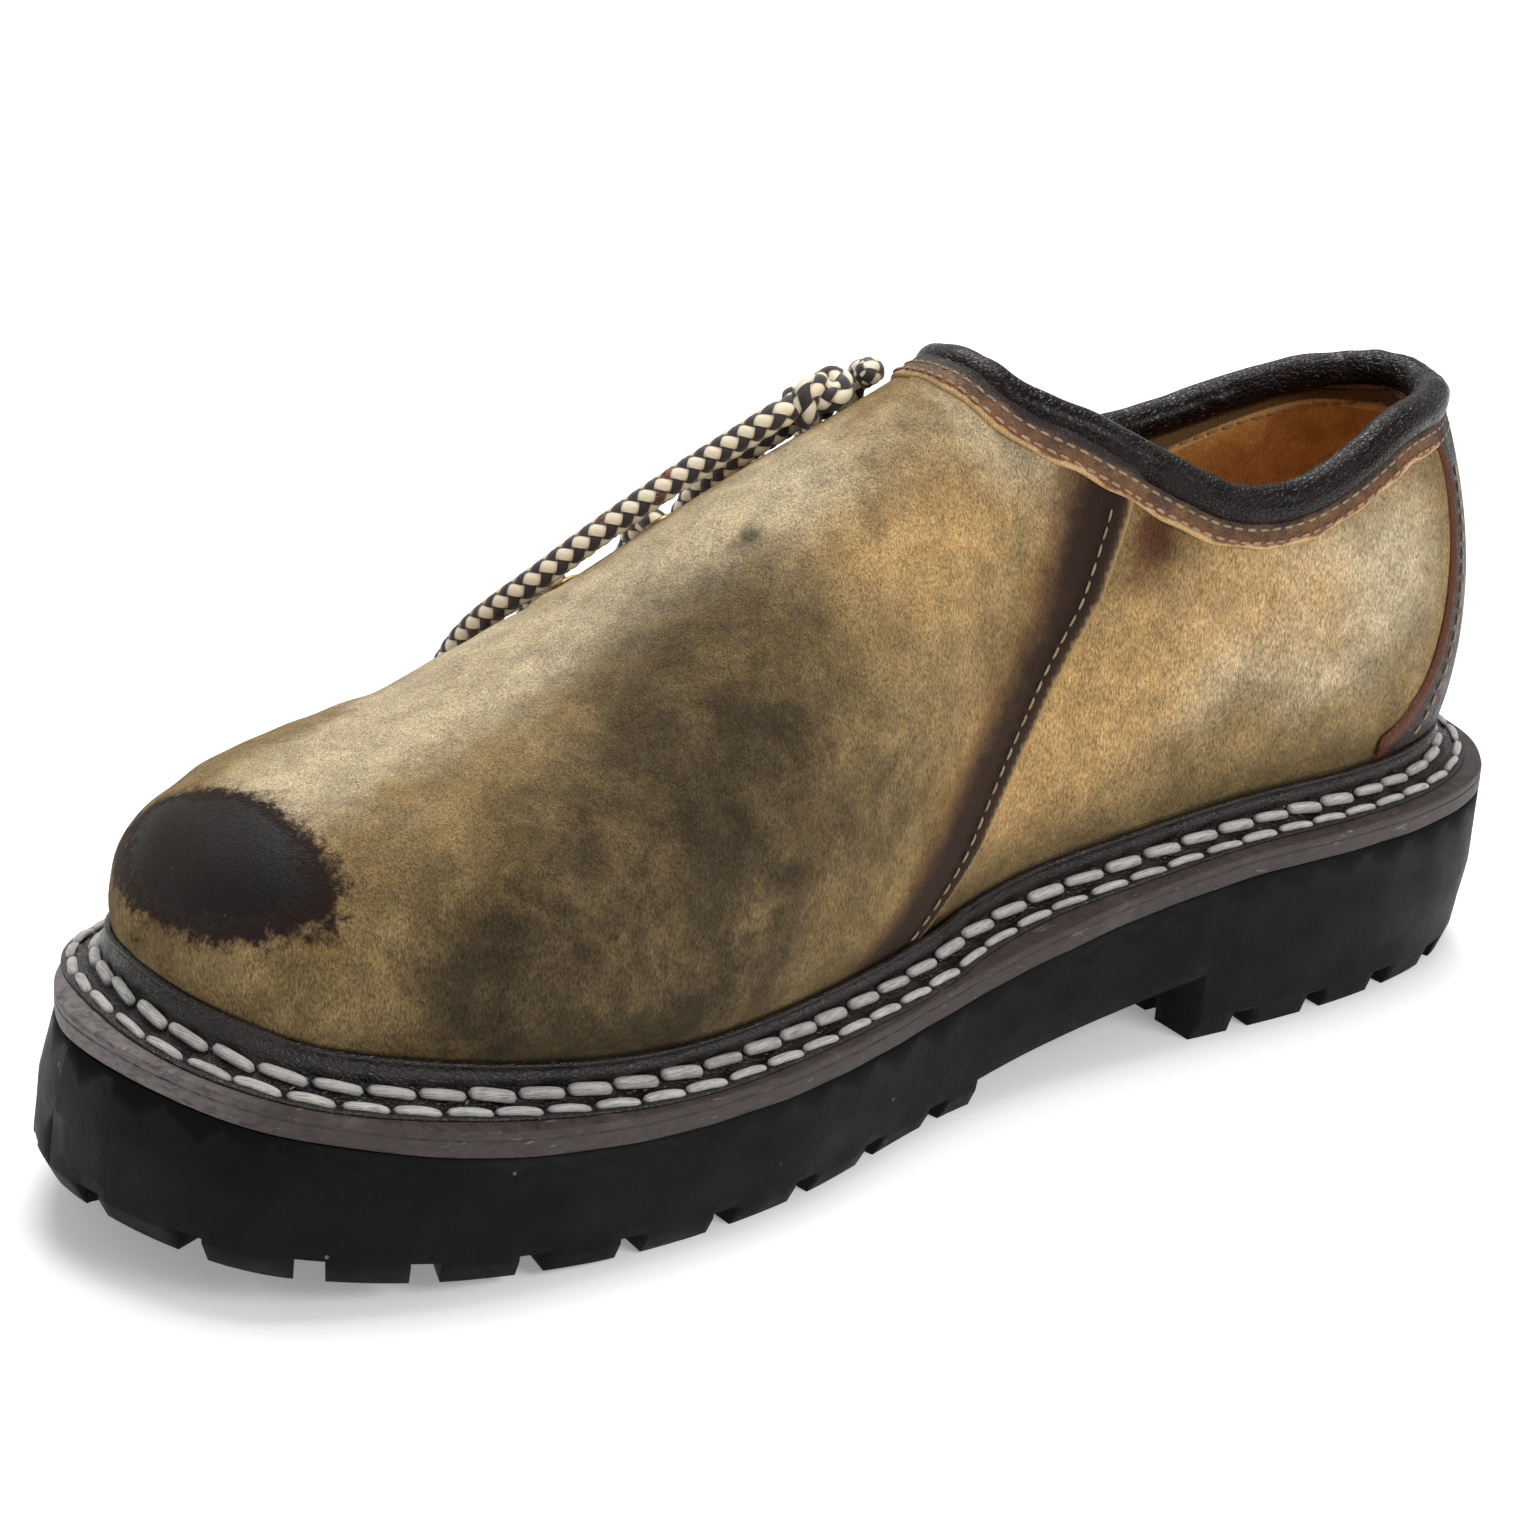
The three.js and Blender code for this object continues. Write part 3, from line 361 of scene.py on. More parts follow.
def add_mesh(name, points, faces, material, outward, values=None, corner_uv=None):
    """Piece from points in the source frame; outward turns the faces to face along given directions"""
    mesh = bpy.data.meshes.new(name)
    mesh.from_pydata(to_row(points).tolist(), [], faces)
    for key, value in (values or {}).items():
        layer = mesh.attributes.new(key, "FLOAT", "POINT")
        layer.data.foreach_set("value", np.asarray(value, np.float32))
    if corner_uv is not None:
        layer = mesh.uv_layers.new(name="run")
        layer.data.foreach_set("uv", np.asarray(corner_uv, np.float32).ravel())
    mesh.update()
    normals = np.zeros(len(mesh.vertices) * 3, np.float32)
    mesh.vertices.foreach_get("normal", normals)
    if np.nansum(normals.reshape(-1, 3) * outward) < 0:
        mesh.flip_normals()
    mesh.polygons.foreach_set("use_smooth", np.ones(len(mesh.polygons), bool))
    mesh.materials.append(material)
    piece = add_object(name, mesh)
    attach(piece, "root")
    return piece


def grid_faces(rows, columns, wrap_rows=False, wrap_columns=False, offset=0):
    """Quads of a grid of points that is stored row by row"""
    r = np.arange(rows if wrap_rows else rows - 1)[:, None]
    c = np.arange(columns if wrap_columns else columns - 1)[None, :]
    r2, c2 = (r + 1) % rows, (c + 1) % columns
    quad = [r * columns + c, r * columns + c2, r2 * columns + c2, r2 * columns + c]
    return offset + np.stack([np.broadcast_to(q, (r.shape[0], c.shape[1])).ravel() for q in quad], -1)


def swept_frames(line, closed=False, up=None):
    """Side and up along a line; up is carried along without twist unless it is given"""
    if closed:
        tangent = unit(np.roll(line, -1, 0) - np.roll(line, 1, 0))
    else:
        tangent = unit(np.gradient(line, axis=0))
    if up is None:
        up = np.zeros_like(line)
        start = np.array([0.0, 0.0, 1.0]) if abs(tangent[0][2]) < 0.9 else np.array([1.0, 0.0, 0.0])
        carried = start
        for i in range(len(line)):
            carried = carried - tangent[i] * np.dot(carried, tangent[i])
            carried = carried / np.linalg.norm(carried)
            up[i] = carried
    else:
        up = unit(up - tangent * np.sum(up * tangent, -1, keepdims=True))
    return unit(np.cross(tangent, up)), up


def cut_sheet(places, angles, keep, offset, values=None, rim=None):
    """Part of the last's surface: a grid over place and angle, whose nodes next to the line keep = 0
    slide onto it along the grid; offset gives each point's lift, and rim its depth of wall.
    Returns points, faces, outward normals and the named values."""
    place, angle = np.meshgrid(places, angles, indexing="ij")
    level = keep(place, angle)
    best = np.full(level.shape, 0.5001)
    new_place, new_angle, hit = place.copy(), angle.copy(), np.zeros(level.shape, bool)
    for axis, way in ((0, 1), (0, -1), (1, 1), (1, -1)):
        near = np.roll(level, -way, axis)
        edge = np.zeros(level.shape, bool)
        index = [slice(None)] * 2
        index[axis] = slice(-1, None) if way == 1 else slice(0, 1)
        edge[tuple(index)] = True
        crossing = (level * near < 0) & ~edge
        part = np.where(crossing, level / np.where(crossing, level - near, 1), 1)
        take = crossing & (part <= best)
        new_place = np.where(take, place + (np.roll(place, -way, axis) - place) * part, new_place)
        new_angle = np.where(take, angle + (np.roll(angle, -way, axis) - angle) * part, new_angle)
        best = np.where(take, part, best)
        hit |= take
    level = np.where(hit, 0.0, level)
    place, angle = new_place, new_angle
    rows, columns = place.shape
    quads = grid_faces(rows, columns)
    corner = level.ravel()[quads]
    whole = (corner >= 0).all(1) & (corner > 0).any(1)
    faces = quads[whole].tolist()
    one_out = ((corner < 0).sum(1) == 1) & (corner > 0).any(1)
    for quad, out in zip(quads[one_out], np.argmin(corner[one_out], 1)):
        rest = [int(quad[(out + k) % 4]) for k in (1, 2, 3)]
        faces.append([rest[0], rest[1], rest[2], rest[2]])
    used = np.unique(np.asarray(faces))
    fresh = np.full(rows * columns, -1)
    fresh[used] = np.arange(len(used))
    faces = fresh[np.asarray(faces)]
    p, a = place.ravel()[used], angle.ravel()[used]
    base, normal = last_point(p, a), last_normal(p, a)
    first, faces = merged(base, faces)
    p, a, base, normal = p[first], a[first], base[first], normal[first]
    lift = np.broadcast_to(offset(p, a, base), p.shape)
    points = base + normal * lift[:, None]
    named = {key: np.broadcast_to(rule(p, a, base), p.shape) for key, rule in (values or {}).items()}
    if rim:
        points, faces, normal, named = with_rim(points, faces, normal, named, rim)
    return points, faces, normal, named


def with_rim(points, faces, normal, named, depth):
    """Turns the open edge of a sheet inwards: a rounded shoulder and a wall of a given depth"""
    edges = np.array([(f[k - 1], f[k]) for f in faces for k in range(len(f))])
    order = np.sort(edges, 1)
    _, index, count = np.unique(order, axis=0, return_index=True, return_counts=True)
    border = edges[index[count == 1]]
    way = unit(points[border[:, 1]] - points[border[:, 0]])
    middle = (points[border[:, 0]] + points[border[:, 1]]) / 2
    side = np.cross(way, normal[border[:, 0]])
    centre = {tuple(e): i for i, e in enumerate(order[index[count == 1]].tolist())}
    inside = np.zeros_like(middle)
    for f in faces:
        heart = None
        for k in range(len(f)):
            key = (min(f[k - 1], f[k]), max(f[k - 1], f[k]))
            if key in centre:
                heart = points[f].mean(0) if heart is None else heart
                inside[centre[key]] = heart
    side = side * np.sign(np.sum(side * (middle - inside), 1, keepdims=True))
    outward = np.zeros_like(points)
    np.add.at(outward, border[:, 0], side)
    np.add.at(outward, border[:, 1], side)
    on_border = np.unique(border)
    outward = unit(outward[on_border])
    base, up = points[on_border], normal[on_border]
    rows = [(0.16, 0.1), (0.3, 0.38), (0.3, depth)]
    levels = [base + outward * out - up * down for out, down in rows]
    start = len(points)
    fresh = np.full(len(points), -1)
    fresh[on_border] = np.arange(len(on_border))
    a, b = fresh[border[:, 0]], fresh[border[:, 1]]
    extra = []
    below_a, below_b = border[:, 0], border[:, 1]
    for k in range(len(rows)):
        next_a, next_b = start + k * len(on_border) + a, start + k * len(on_border) + b
        extra += np.stack([below_b, below_a, next_a, next_b], 1).tolist()
        below_a, below_b = next_a, next_b
    points = np.vstack([points, *levels])
    normal = np.vstack([normal, *[unit(outward + 0.3 * up)] * len(rows)])
    named = {key: np.concatenate([value] + [value[on_border]] * len(rows)) for key, value in named.items()}
    raw = np.zeros(len(points))
    raw[start:] = 1
    named["raw"] = raw
    return points, list(faces) + extra, normal, named


def sheet_piece(name, material, places, angles, keep, offset, values, rim=None, inner=False):
    """Piece from a part of the last's surface; inner turns it to face inwards"""
    points, faces, normal, named = cut_sheet(places, angles, keep, offset, values, rim)
    return add_mesh(name, points, faces, material, -normal if inner else normal, named)


def ring_piece(name, sections, material, values=None, closed=True, caps=False, along=None):
    """Sections of points that follow each other along a path, closed round the section; along gives the
    run of each section for the UV map, next to the share of a turn"""
    rows, columns, _ = sections.shape
    points = sections.reshape(-1, 3)
    faces = grid_faces(rows, columns, closed, True).tolist()
    centre = np.repeat(sections.mean(1), columns, 0)
    outward = points - centre
    named = {key: np.broadcast_to(value, (rows, columns)).ravel() for key, value in (values or {}).items()}
    if caps:
        ends = np.vstack([sections[0].mean(0), sections[-1].mean(0)])
        first, final = len(points), len(points) + 1
        faces += [[(k + 1) % columns, k, first] for k in range(columns)]
        base = (rows - 1) * columns
        faces += [[base + k, base + (k + 1) % columns, final] for k in range(columns)]
        points = np.vstack([points, ends])
        outward = np.vstack([outward, ends - sections[[1, -2]].mean(1)])
        named = {key: np.append(value, [value[0], value[-1]]) for key, value in named.items()}
    corner_uv = None
    if along is not None:
        r = np.repeat(np.arange(rows if closed else rows - 1), columns)
        c = np.tile(np.arange(columns), rows if closed else rows - 1)
        u = np.stack([c, c + 1, c + 1, c], -1) / columns
        v = np.stack([along[r], along[r], along[(r + 1) % rows], along[(r + 1) % rows]], -1)
        corner_uv = np.stack([u, v], -1).reshape(-1, 2)
        if caps:
            corner_uv = np.vstack([corner_uv, np.zeros((columns * 6, 2))])
    return add_mesh(name, points, faces, material, outward, named, corner_uv)


def tube_sections(line, radius, relief, closed=False, up=None):
    """Circle carried along a line, with a radius for each station; relief adds to it at each turn"""
    side, lift = swept_frames(line, closed, up)
    turn = np.linspace(0, 2 * np.pi, relief.shape[1], endpoint=False)
    radial = np.cos(turn)[None, :, None] * side[:, None] + np.sin(turn)[None, :, None] * lift[:, None]
    return line[:, None] + radial * (radius[:, None] + relief)[..., None]


def slab_piece(name, top, under, material, values):
    """Piece whose sections run across a top face and back across its underside"""
    sections = np.concatenate([top, under[:, ::-1]], 1)
    return ring_piece(name, sections, material, values, closed=False, caps=True)


def joined_capsules(name, starts, ends, ups, width, height, material, bend, twist, sides, rings):
    """Many short rounded threads as one mesh: the radius falls off from the middle as one less the fifth
    power of the way to the end, to the power 0.45; each is flattened to a height, its middle is lifted
    by a half sine of bend, and twist leans it across its run"""
    count = len(starts)
    t = np.linspace(0, 1, rings)
    swell = np.clip(1 - np.abs(2 * t - 1) ** 5, 0, 1) ** 0.45
    turn = np.linspace(0, 2 * np.pi, sides, endpoint=False)
    way = ends - starts
    ahead = unit(way)
    lift = unit(ups - ahead * np.sum(ups * ahead, -1, keepdims=True))
    side = np.cross(ahead, lift)
    middle = starts[:, None] + way[:, None] * t[None, :, None]
    middle = middle + lift[:, None] * (bend * np.sin(np.pi * t))[None, :, None]
    middle = middle + side[:, None] * (twist * (2 * t - 1))[None, :, None]
    own = rng.uniform(0.86, 1.1, count)[:, None, None, None]
    lean = rng.uniform(-0.09, 0.09, count)[:, None, None]
    middle = middle + side[:, None] * lean * (2 * t - 1)[None, :, None] * width
    across = np.cos(turn)[None, None, :, None] * side[:, None, None] * (width / 2) * own
    upward = np.sin(turn)[None, None, :, None] * lift[:, None, None] * (height / 2)
    points = middle[:, :, None] + (across + upward) * swell[None, :, None, None]
    quads = grid_faces(rings, sides, False, True)
    faces = (quads[None] + (np.arange(count) * rings * sides)[:, None, None]).reshape(-1, 4)
    points = points.reshape(-1, 3)
    along = np.broadcast_to(t[None, :, None], (count, rings, sides)).ravel()
    half_turn = np.abs(np.linspace(-1, 1, sides, endpoint=False))[None, None]
    round_ = np.broadcast_to(half_turn, (count, rings, sides)).ravel()
    tone = np.broadcast_to(rng.random(count)[:, None, None], (count, rings, sides)).ravel()
    first, faces = merged(points, faces)
    centre = np.broadcast_to(middle[:, :, None], (count, rings, sides, 3)).reshape(-1, 3)
    return add_mesh(
        name, points[first], faces, material, (points - centre)[first],
        {"along": along[first], "tone": tone[first], "round": round_[first]},
    )


# Lines on the last


def collar_spot(at):
    """Distance along the foot and degrees round the last at shares of the collar's length"""
    control = np.array([(along * sole_length, angle) for along, angle in collar_table], float)
    padded = np.hstack([control, np.zeros((len(control), 1))])
    return catmull(padded, np.asarray(at) % 1, closed=True)[..., :2]


def collar_frame(at):
    """Point of the collar's edge, outward normal, and the direction into the opening"""
    spot = collar_spot(at)
    point = off_last(spot[..., 0], spot[..., 1], 0.0)
    normal = unit(off_last(spot[..., 0], spot[..., 1], 1.0) - point)
    ahead, behind = collar_spot(np.asarray(at) + 0.001), collar_spot(np.asarray(at) - 0.001)
    run = unit(off_last(ahead[..., 0], ahead[..., 1], 0.0) - off_last(behind[..., 0], behind[..., 1], 0.0))
    return point, normal, unit(np.cross(normal, run))


# Slit: its middle in degrees, and its half width, which narrows with the square of its rows' share
slit_values = np.array(slit_table, float)
slit_middle = lambda s: np.interp(s, slit_values[:, 0] * sole_length, slit_values[:, 1])
slit_half = lambda s: (slit_width / 2) * (
    1 - 0.75 * np.interp(s, slit_values[:, 0] * sole_length, np.linspace(0, 1, len(slit_values))) ** 2
)
# Millimetres to a degree round the last, and the seams' distance square to them over that along the foot
degrees_round = 38.0 * np.pi / 180
seam_lean = 0.85


def polygon_distance(points, polygon):
    """Distance to a closed outline in the plane, below zero inside it"""
    a = polygon
    b = np.roll(polygon, -1, 0)
    out = np.full(len(points), np.inf)
    inside = np.zeros(len(points), bool)
    for start, end in zip(a, b):
        way = end - start
        t = np.clip(((points - start) @ way) / max(way @ way, 1e-12), 0, 1)
        out = np.minimum(out, np.linalg.norm(points - start - t[:, None] * way, axis=1))
        crosses = (start[1] > points[:, 1]) != (end[1] > points[:, 1])
        slope = way[0] / way[1] if way[1] else 0.0
        inside ^= crosses & (points[:, 0] < start[0] + (points[:, 1] - start[1]) * slope)
    return np.where(inside, -out, out)


def unrolled(s, degrees):
    """Plane in which a millimetre is roughly a millimetre on the leather"""
    return np.stack([s, degrees * degrees_round], -1)


collar_polygon = unrolled(*collar_spot(np.linspace(0, 1, 260, endpoint=False)).T)


def beyond_collar(place, angle):
    """Distance from the collar's edge, positive on the leather"""
    spots = unrolled(last["along"](place).ravel(), np.degrees(angle).ravel())
    return polygon_distance(spots, collar_polygon).reshape(place.shape)


def beside_slit(place, angle):
    """Distance from the lacing slit, positive on the leather"""
    s = last["along"](place)
    across = np.abs(np.degrees(angle) - slit_middle(s)) * degrees_round - slit_half(s)
    ahead = s - slit_values[-1, 0] * sole_length
    behind = slit_back - s
    return np.maximum.reduce([across, ahead, behind])


def above_sole(place, angle, gap=0.45):
    """Height over the midsole, less a gap"""
    point = last_point(place, angle)
    return point[..., 2] - midsole_top(foot_run(point)) - gap


def seam_along(seam, height):
    """s of a seam at heights over the floor"""
    rows = np.array(sorted(seam, key=lambda row: row[1]), float)
    return np.interp(height, rows[:, 1] * instep_height, rows[:, 0] * sole_length)


def ahead_of_seams(place, angle):
    """Distance into the vamp, from both seams and the slit's middle, negative on the quarters"""
    point = last_point(place, angle)
    s = foot_run(point)
    degrees = np.degrees(angle)
    inner = s - seam_along(inner_seam, point[..., 2])
    outer = np.maximum(s - seam_along(outer_seam, point[..., 2]), (slit_middle(s) - degrees) * degrees_round)
    return np.where(degrees < 90, inner, outer) * seam_lean


def eyelet_frames():
    """Row, side, middle and direction of each eyelet, at even steps beside the slit"""
    frames = []
    for row in range(eyelet_rows):
        s = first_eyelet + (last_eyelet - first_eyelet) * row / (eyelet_rows - 1)
        angle = float(slit_middle(s))
        girth = np.linalg.norm(off_last(s, angle + 1, 0.0) - off_last(s, angle - 1, 0.0)) / 2
        for side, sign, drop in (("inner", 1, 0.0), ("outer", -1, -quarter_step)):
            degrees = angle - sign * eyelet_spread / girth
            middle = off_last(s, degrees, drop)
            frames.append((row, side, middle, unit(off_last(s, degrees, drop + 1) - middle)))
    return frames


eyelets = eyelet_frames()


def clear_of_eyelets(place, angle):
    """Distance from the nearest eyelet's barrel, positive on the leather"""
    point = last_point(place, angle)
    room = eyelet_bore + eyelet_wall + 0.4
    near = [np.linalg.norm(point - middle, axis=-1) - room for _, _, middle, _ in eyelets]
    return np.minimum.reduce(near)


def walk(place, angle, direction, distance, steps=4):
    """Moves along the leather in a given direction, by solving for the change of place and angle"""
    for _ in range(steps):
        point = last_point(place, angle)
        by_place = (last_point(place + 0.01, angle) - point) / 0.01
        by_angle = (last_point(place, angle + 0.01) - point) / 0.01
        a, c = np.sum(by_place**2, -1), np.sum(by_angle**2, -1)
        b = np.sum(by_place * by_angle, -1)
        normal = last_normal(place, angle)
        flat = unit(direction - normal * np.sum(direction * normal, -1, keepdims=True))
        move = flat * np.asarray(distance, float)[..., None] / steps
        e, f = np.sum(by_place * move, -1), np.sum(by_angle * move, -1)
        det = a * c - b * b
        place = place + (e * c - b * f) / det
        angle = angle + (a * f - b * e) / det
    return place, angle


def below_collar(at, distance):
    """Place and angle at a distance down the leather from the collar's edge"""
    spot = collar_spot(at)
    _, _, opening = collar_frame(at)
    return walk(place_of(spot[..., 0]), np.radians(spot[..., 1]), -opening, distance)


# Materials


def srgb(red, green, blue):
    """Screen colour to the linear colour that shaders use"""
    tone = np.array([red, green, blue]) / 255
    linear = np.where(tone <= 0.04045, tone / 12.92, ((tone + 0.055) / 1.055) ** 2.4)
    return (*linear.tolist(), 1.0)


def put(tree, kind, inputs=None, **settings):
    """Adds a shader node; an input is a value or the socket that feeds it"""
    node = tree.nodes.new("ShaderNode" + kind)
    for key, value in settings.items():
        setattr(node, key, value)
    for key, value in (inputs or {}).items():
        socket = node.inputs[key]
        if isinstance(value, bpy.types.NodeSocket):
            tree.links.new(value, socket)
        else:
            socket.default_value = value
    return node


def calc(tree, operation, *values):
    return put(tree, "Math", dict(enumerate(values)), operation=operation).outputs[0]


def times(tree, first, second):
    return calc(tree, "MULTIPLY", first, second)


def plus(tree, first, second):
    return calc(tree, "ADD", first, second)


def around_zero(tree, value):
    return calc(tree, "SUBTRACT", value, 0.5)


def dye(tree, factor, under, over, mode="MIX"):
    """Mixes one colour over another"""
    node = put(tree, "Mix", {0: factor, 6: under, 7: over}, data_type="RGBA", blend_type=mode)
    return node.outputs[2]


def ramp(tree, value, low, high, to_low=0.0, to_high=1.0):
    """Soft step of a value between two limits"""
    inputs = {"Value": value, "From Min": low, "From Max": high, "To Min": to_low, "To Max": to_high}
    return put(tree, "MapRange", inputs, interpolation_type="SMOOTHSTEP").outputs[0]


def noise(tree, vector, scale, detail=3.0, roughness=0.5, distortion=0.0):
    inputs = {
        "Vector": vector, "Scale": scale, "Detail": detail, "Roughness": roughness, "Distortion": distortion,
    }
    return put(tree, "TexNoise", inputs).outputs[0]


def place_in(tree):
    return put(tree, "TexCoord").outputs["Object"]


def stretched(tree, where, scale, turn=(0.0, 0.0, 0.0)):
    """Coordinates scaled and turned, so that a pattern on them is drawn out"""
    return put(tree, "Mapping", {"Vector": where, "Rotation": turn, "Scale": scale}).outputs[0]


def grey_scale(tree, value):
    return put(tree, "CombineColor", {0: value, 1: value, 2: value}).outputs[0]


def shade(tree, color, value):
    """Colour times a brightness"""
    return dye(tree, 1.0, color, grey_scale(tree, value), "MULTIPLY")


def attribute(tree, name):
    return put(tree, "Attribute", attribute_name=name).outputs["Fac"]


def node_group(name, inputs, outputs):
    """Empty shader group with number sockets: its inputs with their values, and its outputs by name"""
    group = bpy.data.node_groups.new(name, "ShaderNodeTree")
    for key, value in inputs.items():
        socket = group.interface.new_socket(key, in_out="INPUT", socket_type="NodeSocketFloat")
        socket.default_value = value
    for key in outputs:
        group.interface.new_socket(key, in_out="OUTPUT", socket_type="NodeSocketFloat")
    return group, group.nodes.new("NodeGroupInput").outputs, group.nodes.new("NodeGroupOutput").inputs


def use_group(tree, group, **inputs):
    """Places a group with its own values and gives its outputs"""
    node = tree.nodes.new("ShaderNodeGroup")
    node.node_tree = group
    for key, value in inputs.items():
        node.inputs[key.capitalize()].default_value = value
    return node.outputs


def sized(group, scale, given):
    """Scale of a noise in a group, for the group's size"""
    return calc(group, "DIVIDE", scale, given["Size"])


def nap_group():
    """Short fibres: fine noise drawn out in three directions, each in its own areas, over a coarser one;
    as height, as a tone around one half, and as a slower mottle"""
    group, given, made = node_group("short_nap", {"Size": 1.0}, ("Height", "Tone", "Mottle"))
    where = place_in(group)
    scale = sized(group, 3300.0, given)

    def drawn(turn):
        return noise(group, stretched(group, where, (1.0, 1.0, 0.32), turn), scale, 2, 0.55, 0.5)

    area = noise(group, where, sized(group, 150.0, given), 2, 0.5)
    level, upright, slant = drawn((1.4, 0.3, 0.2)), drawn((0.5, -0.4, 0.0)), drawn((0.9, 0.9, 0.6))
    mixed = level
    for other, low in ((upright, 0.42), (slant, 0.52)):
        pick = ramp(group, area, low, low + 0.08)
        mixed = put(group, "Mix", {0: pick, 2: mixed, 3: other}, data_type="FLOAT").outputs[0]
    coarse = noise(group, where, sized(group, 1500.0, given), 3, 0.6, 0.8)
    mottle = noise(group, where, sized(group, 130.0, given), 4, 0.65, 0.5)
    height = plus(group, times(group, mixed, 0.7), times(group, coarse, 0.6))
    tone = plus(group, times(group, mixed, 0.72), times(group, coarse, 0.28))
    for key, value in (("Height", height), ("Tone", tone), ("Mottle", mottle)):
        group.links.new(value, made[key])
    return group


def grain_group():
    """Smooth leather's grain: rounded cells with creases between them, over a soft unevenness"""
    group, given, made = node_group("leather_grain", {"Size": 1.0}, ("Height", "Tone"))
    where = place_in(group)
    wander = put(group, "TexNoise", {"Vector": where, "Scale": 260.0}).outputs["Color"]
    wander = put(group, "VectorMath", {0: wander, "Scale": 0.0012}, operation="SCALE").outputs[0]
    bent = put(group, "VectorMath", {0: where, 1: wander}, operation="ADD").outputs[0]
    scale = sized(group, 800.0, given)
    cells = put(group, "TexVoronoi", {"Vector": bent, "Scale": scale}, feature="DISTANCE_TO_EDGE").outputs[0]
    crease = ramp(group, cells, 0.0, 0.22)
    soft = noise(group, where, sized(group, 120.0, given), 4, 0.6)
    height = plus(group, crease, times(group, soft, 1.5))
    group.links.new(height, made["Height"])
    group.links.new(soft, made["Tone"])
    return group


def dust_group():
    """Pale specks: the centres of few, randomly chosen cells"""
    group, given, made = node_group("dust_specks", {"Amount": 0.1, "Size": 1.0}, ("Mask", "Haze"))
    where = place_in(group)
    cells = put(group, "TexVoronoi", {"Vector": where, "Scale": sized(group, 340.0, given)})
    chance = put(group, "SeparateColor", {0: cells.outputs["Color"]}).outputs[0]
    chosen = calc(group, "LESS_THAN", chance, given["Amount"])
    speck = ramp(group, cells.outputs["Distance"], 0.06, 0.16, 1.0, 0.0)
    haze = ramp(group, noise(group, where, 55.0, 5, 0.65), 0.5, 0.8)
    group.links.new(times(group, speck, chosen), made["Mask"])
    group.links.new(haze, made["Haze"])
    return group


short_nap = nap_group()
leather_grain = grain_group()
dust_specks = dust_group()


def new_material(name, slot_color, **sockets):
    """Material with its principled shader and plain values on the shader's own sockets"""
    material = bpy.data.materials.new(name)
    material.use_nodes = True
    material.diffuse_color = slot_color
    tree = material.node_tree
    shader = next(node for node in tree.nodes if node.type == "BSDF_PRINCIPLED")
    for key, value in sockets.items():
        shader.inputs[key.replace("_", " ").title().replace("Ior", "IOR")].default_value = value
    return material, tree, shader


def finish(tree, shader, color, roughness, height, depth):
    """Feeds the shader with its colour, its roughness if it varies, and a relief of a depth in metres"""
    tree.links.new(color, shader.inputs["Base Color"])
    if roughness is not None:
        tree.links.new(roughness, shader.inputs["Roughness"])
    bump = put(tree, "Bump", {"Height": height, "Distance": depth, "Strength": 1.0})
    tree.links.new(bump.outputs[0], shader.inputs["Normal"])


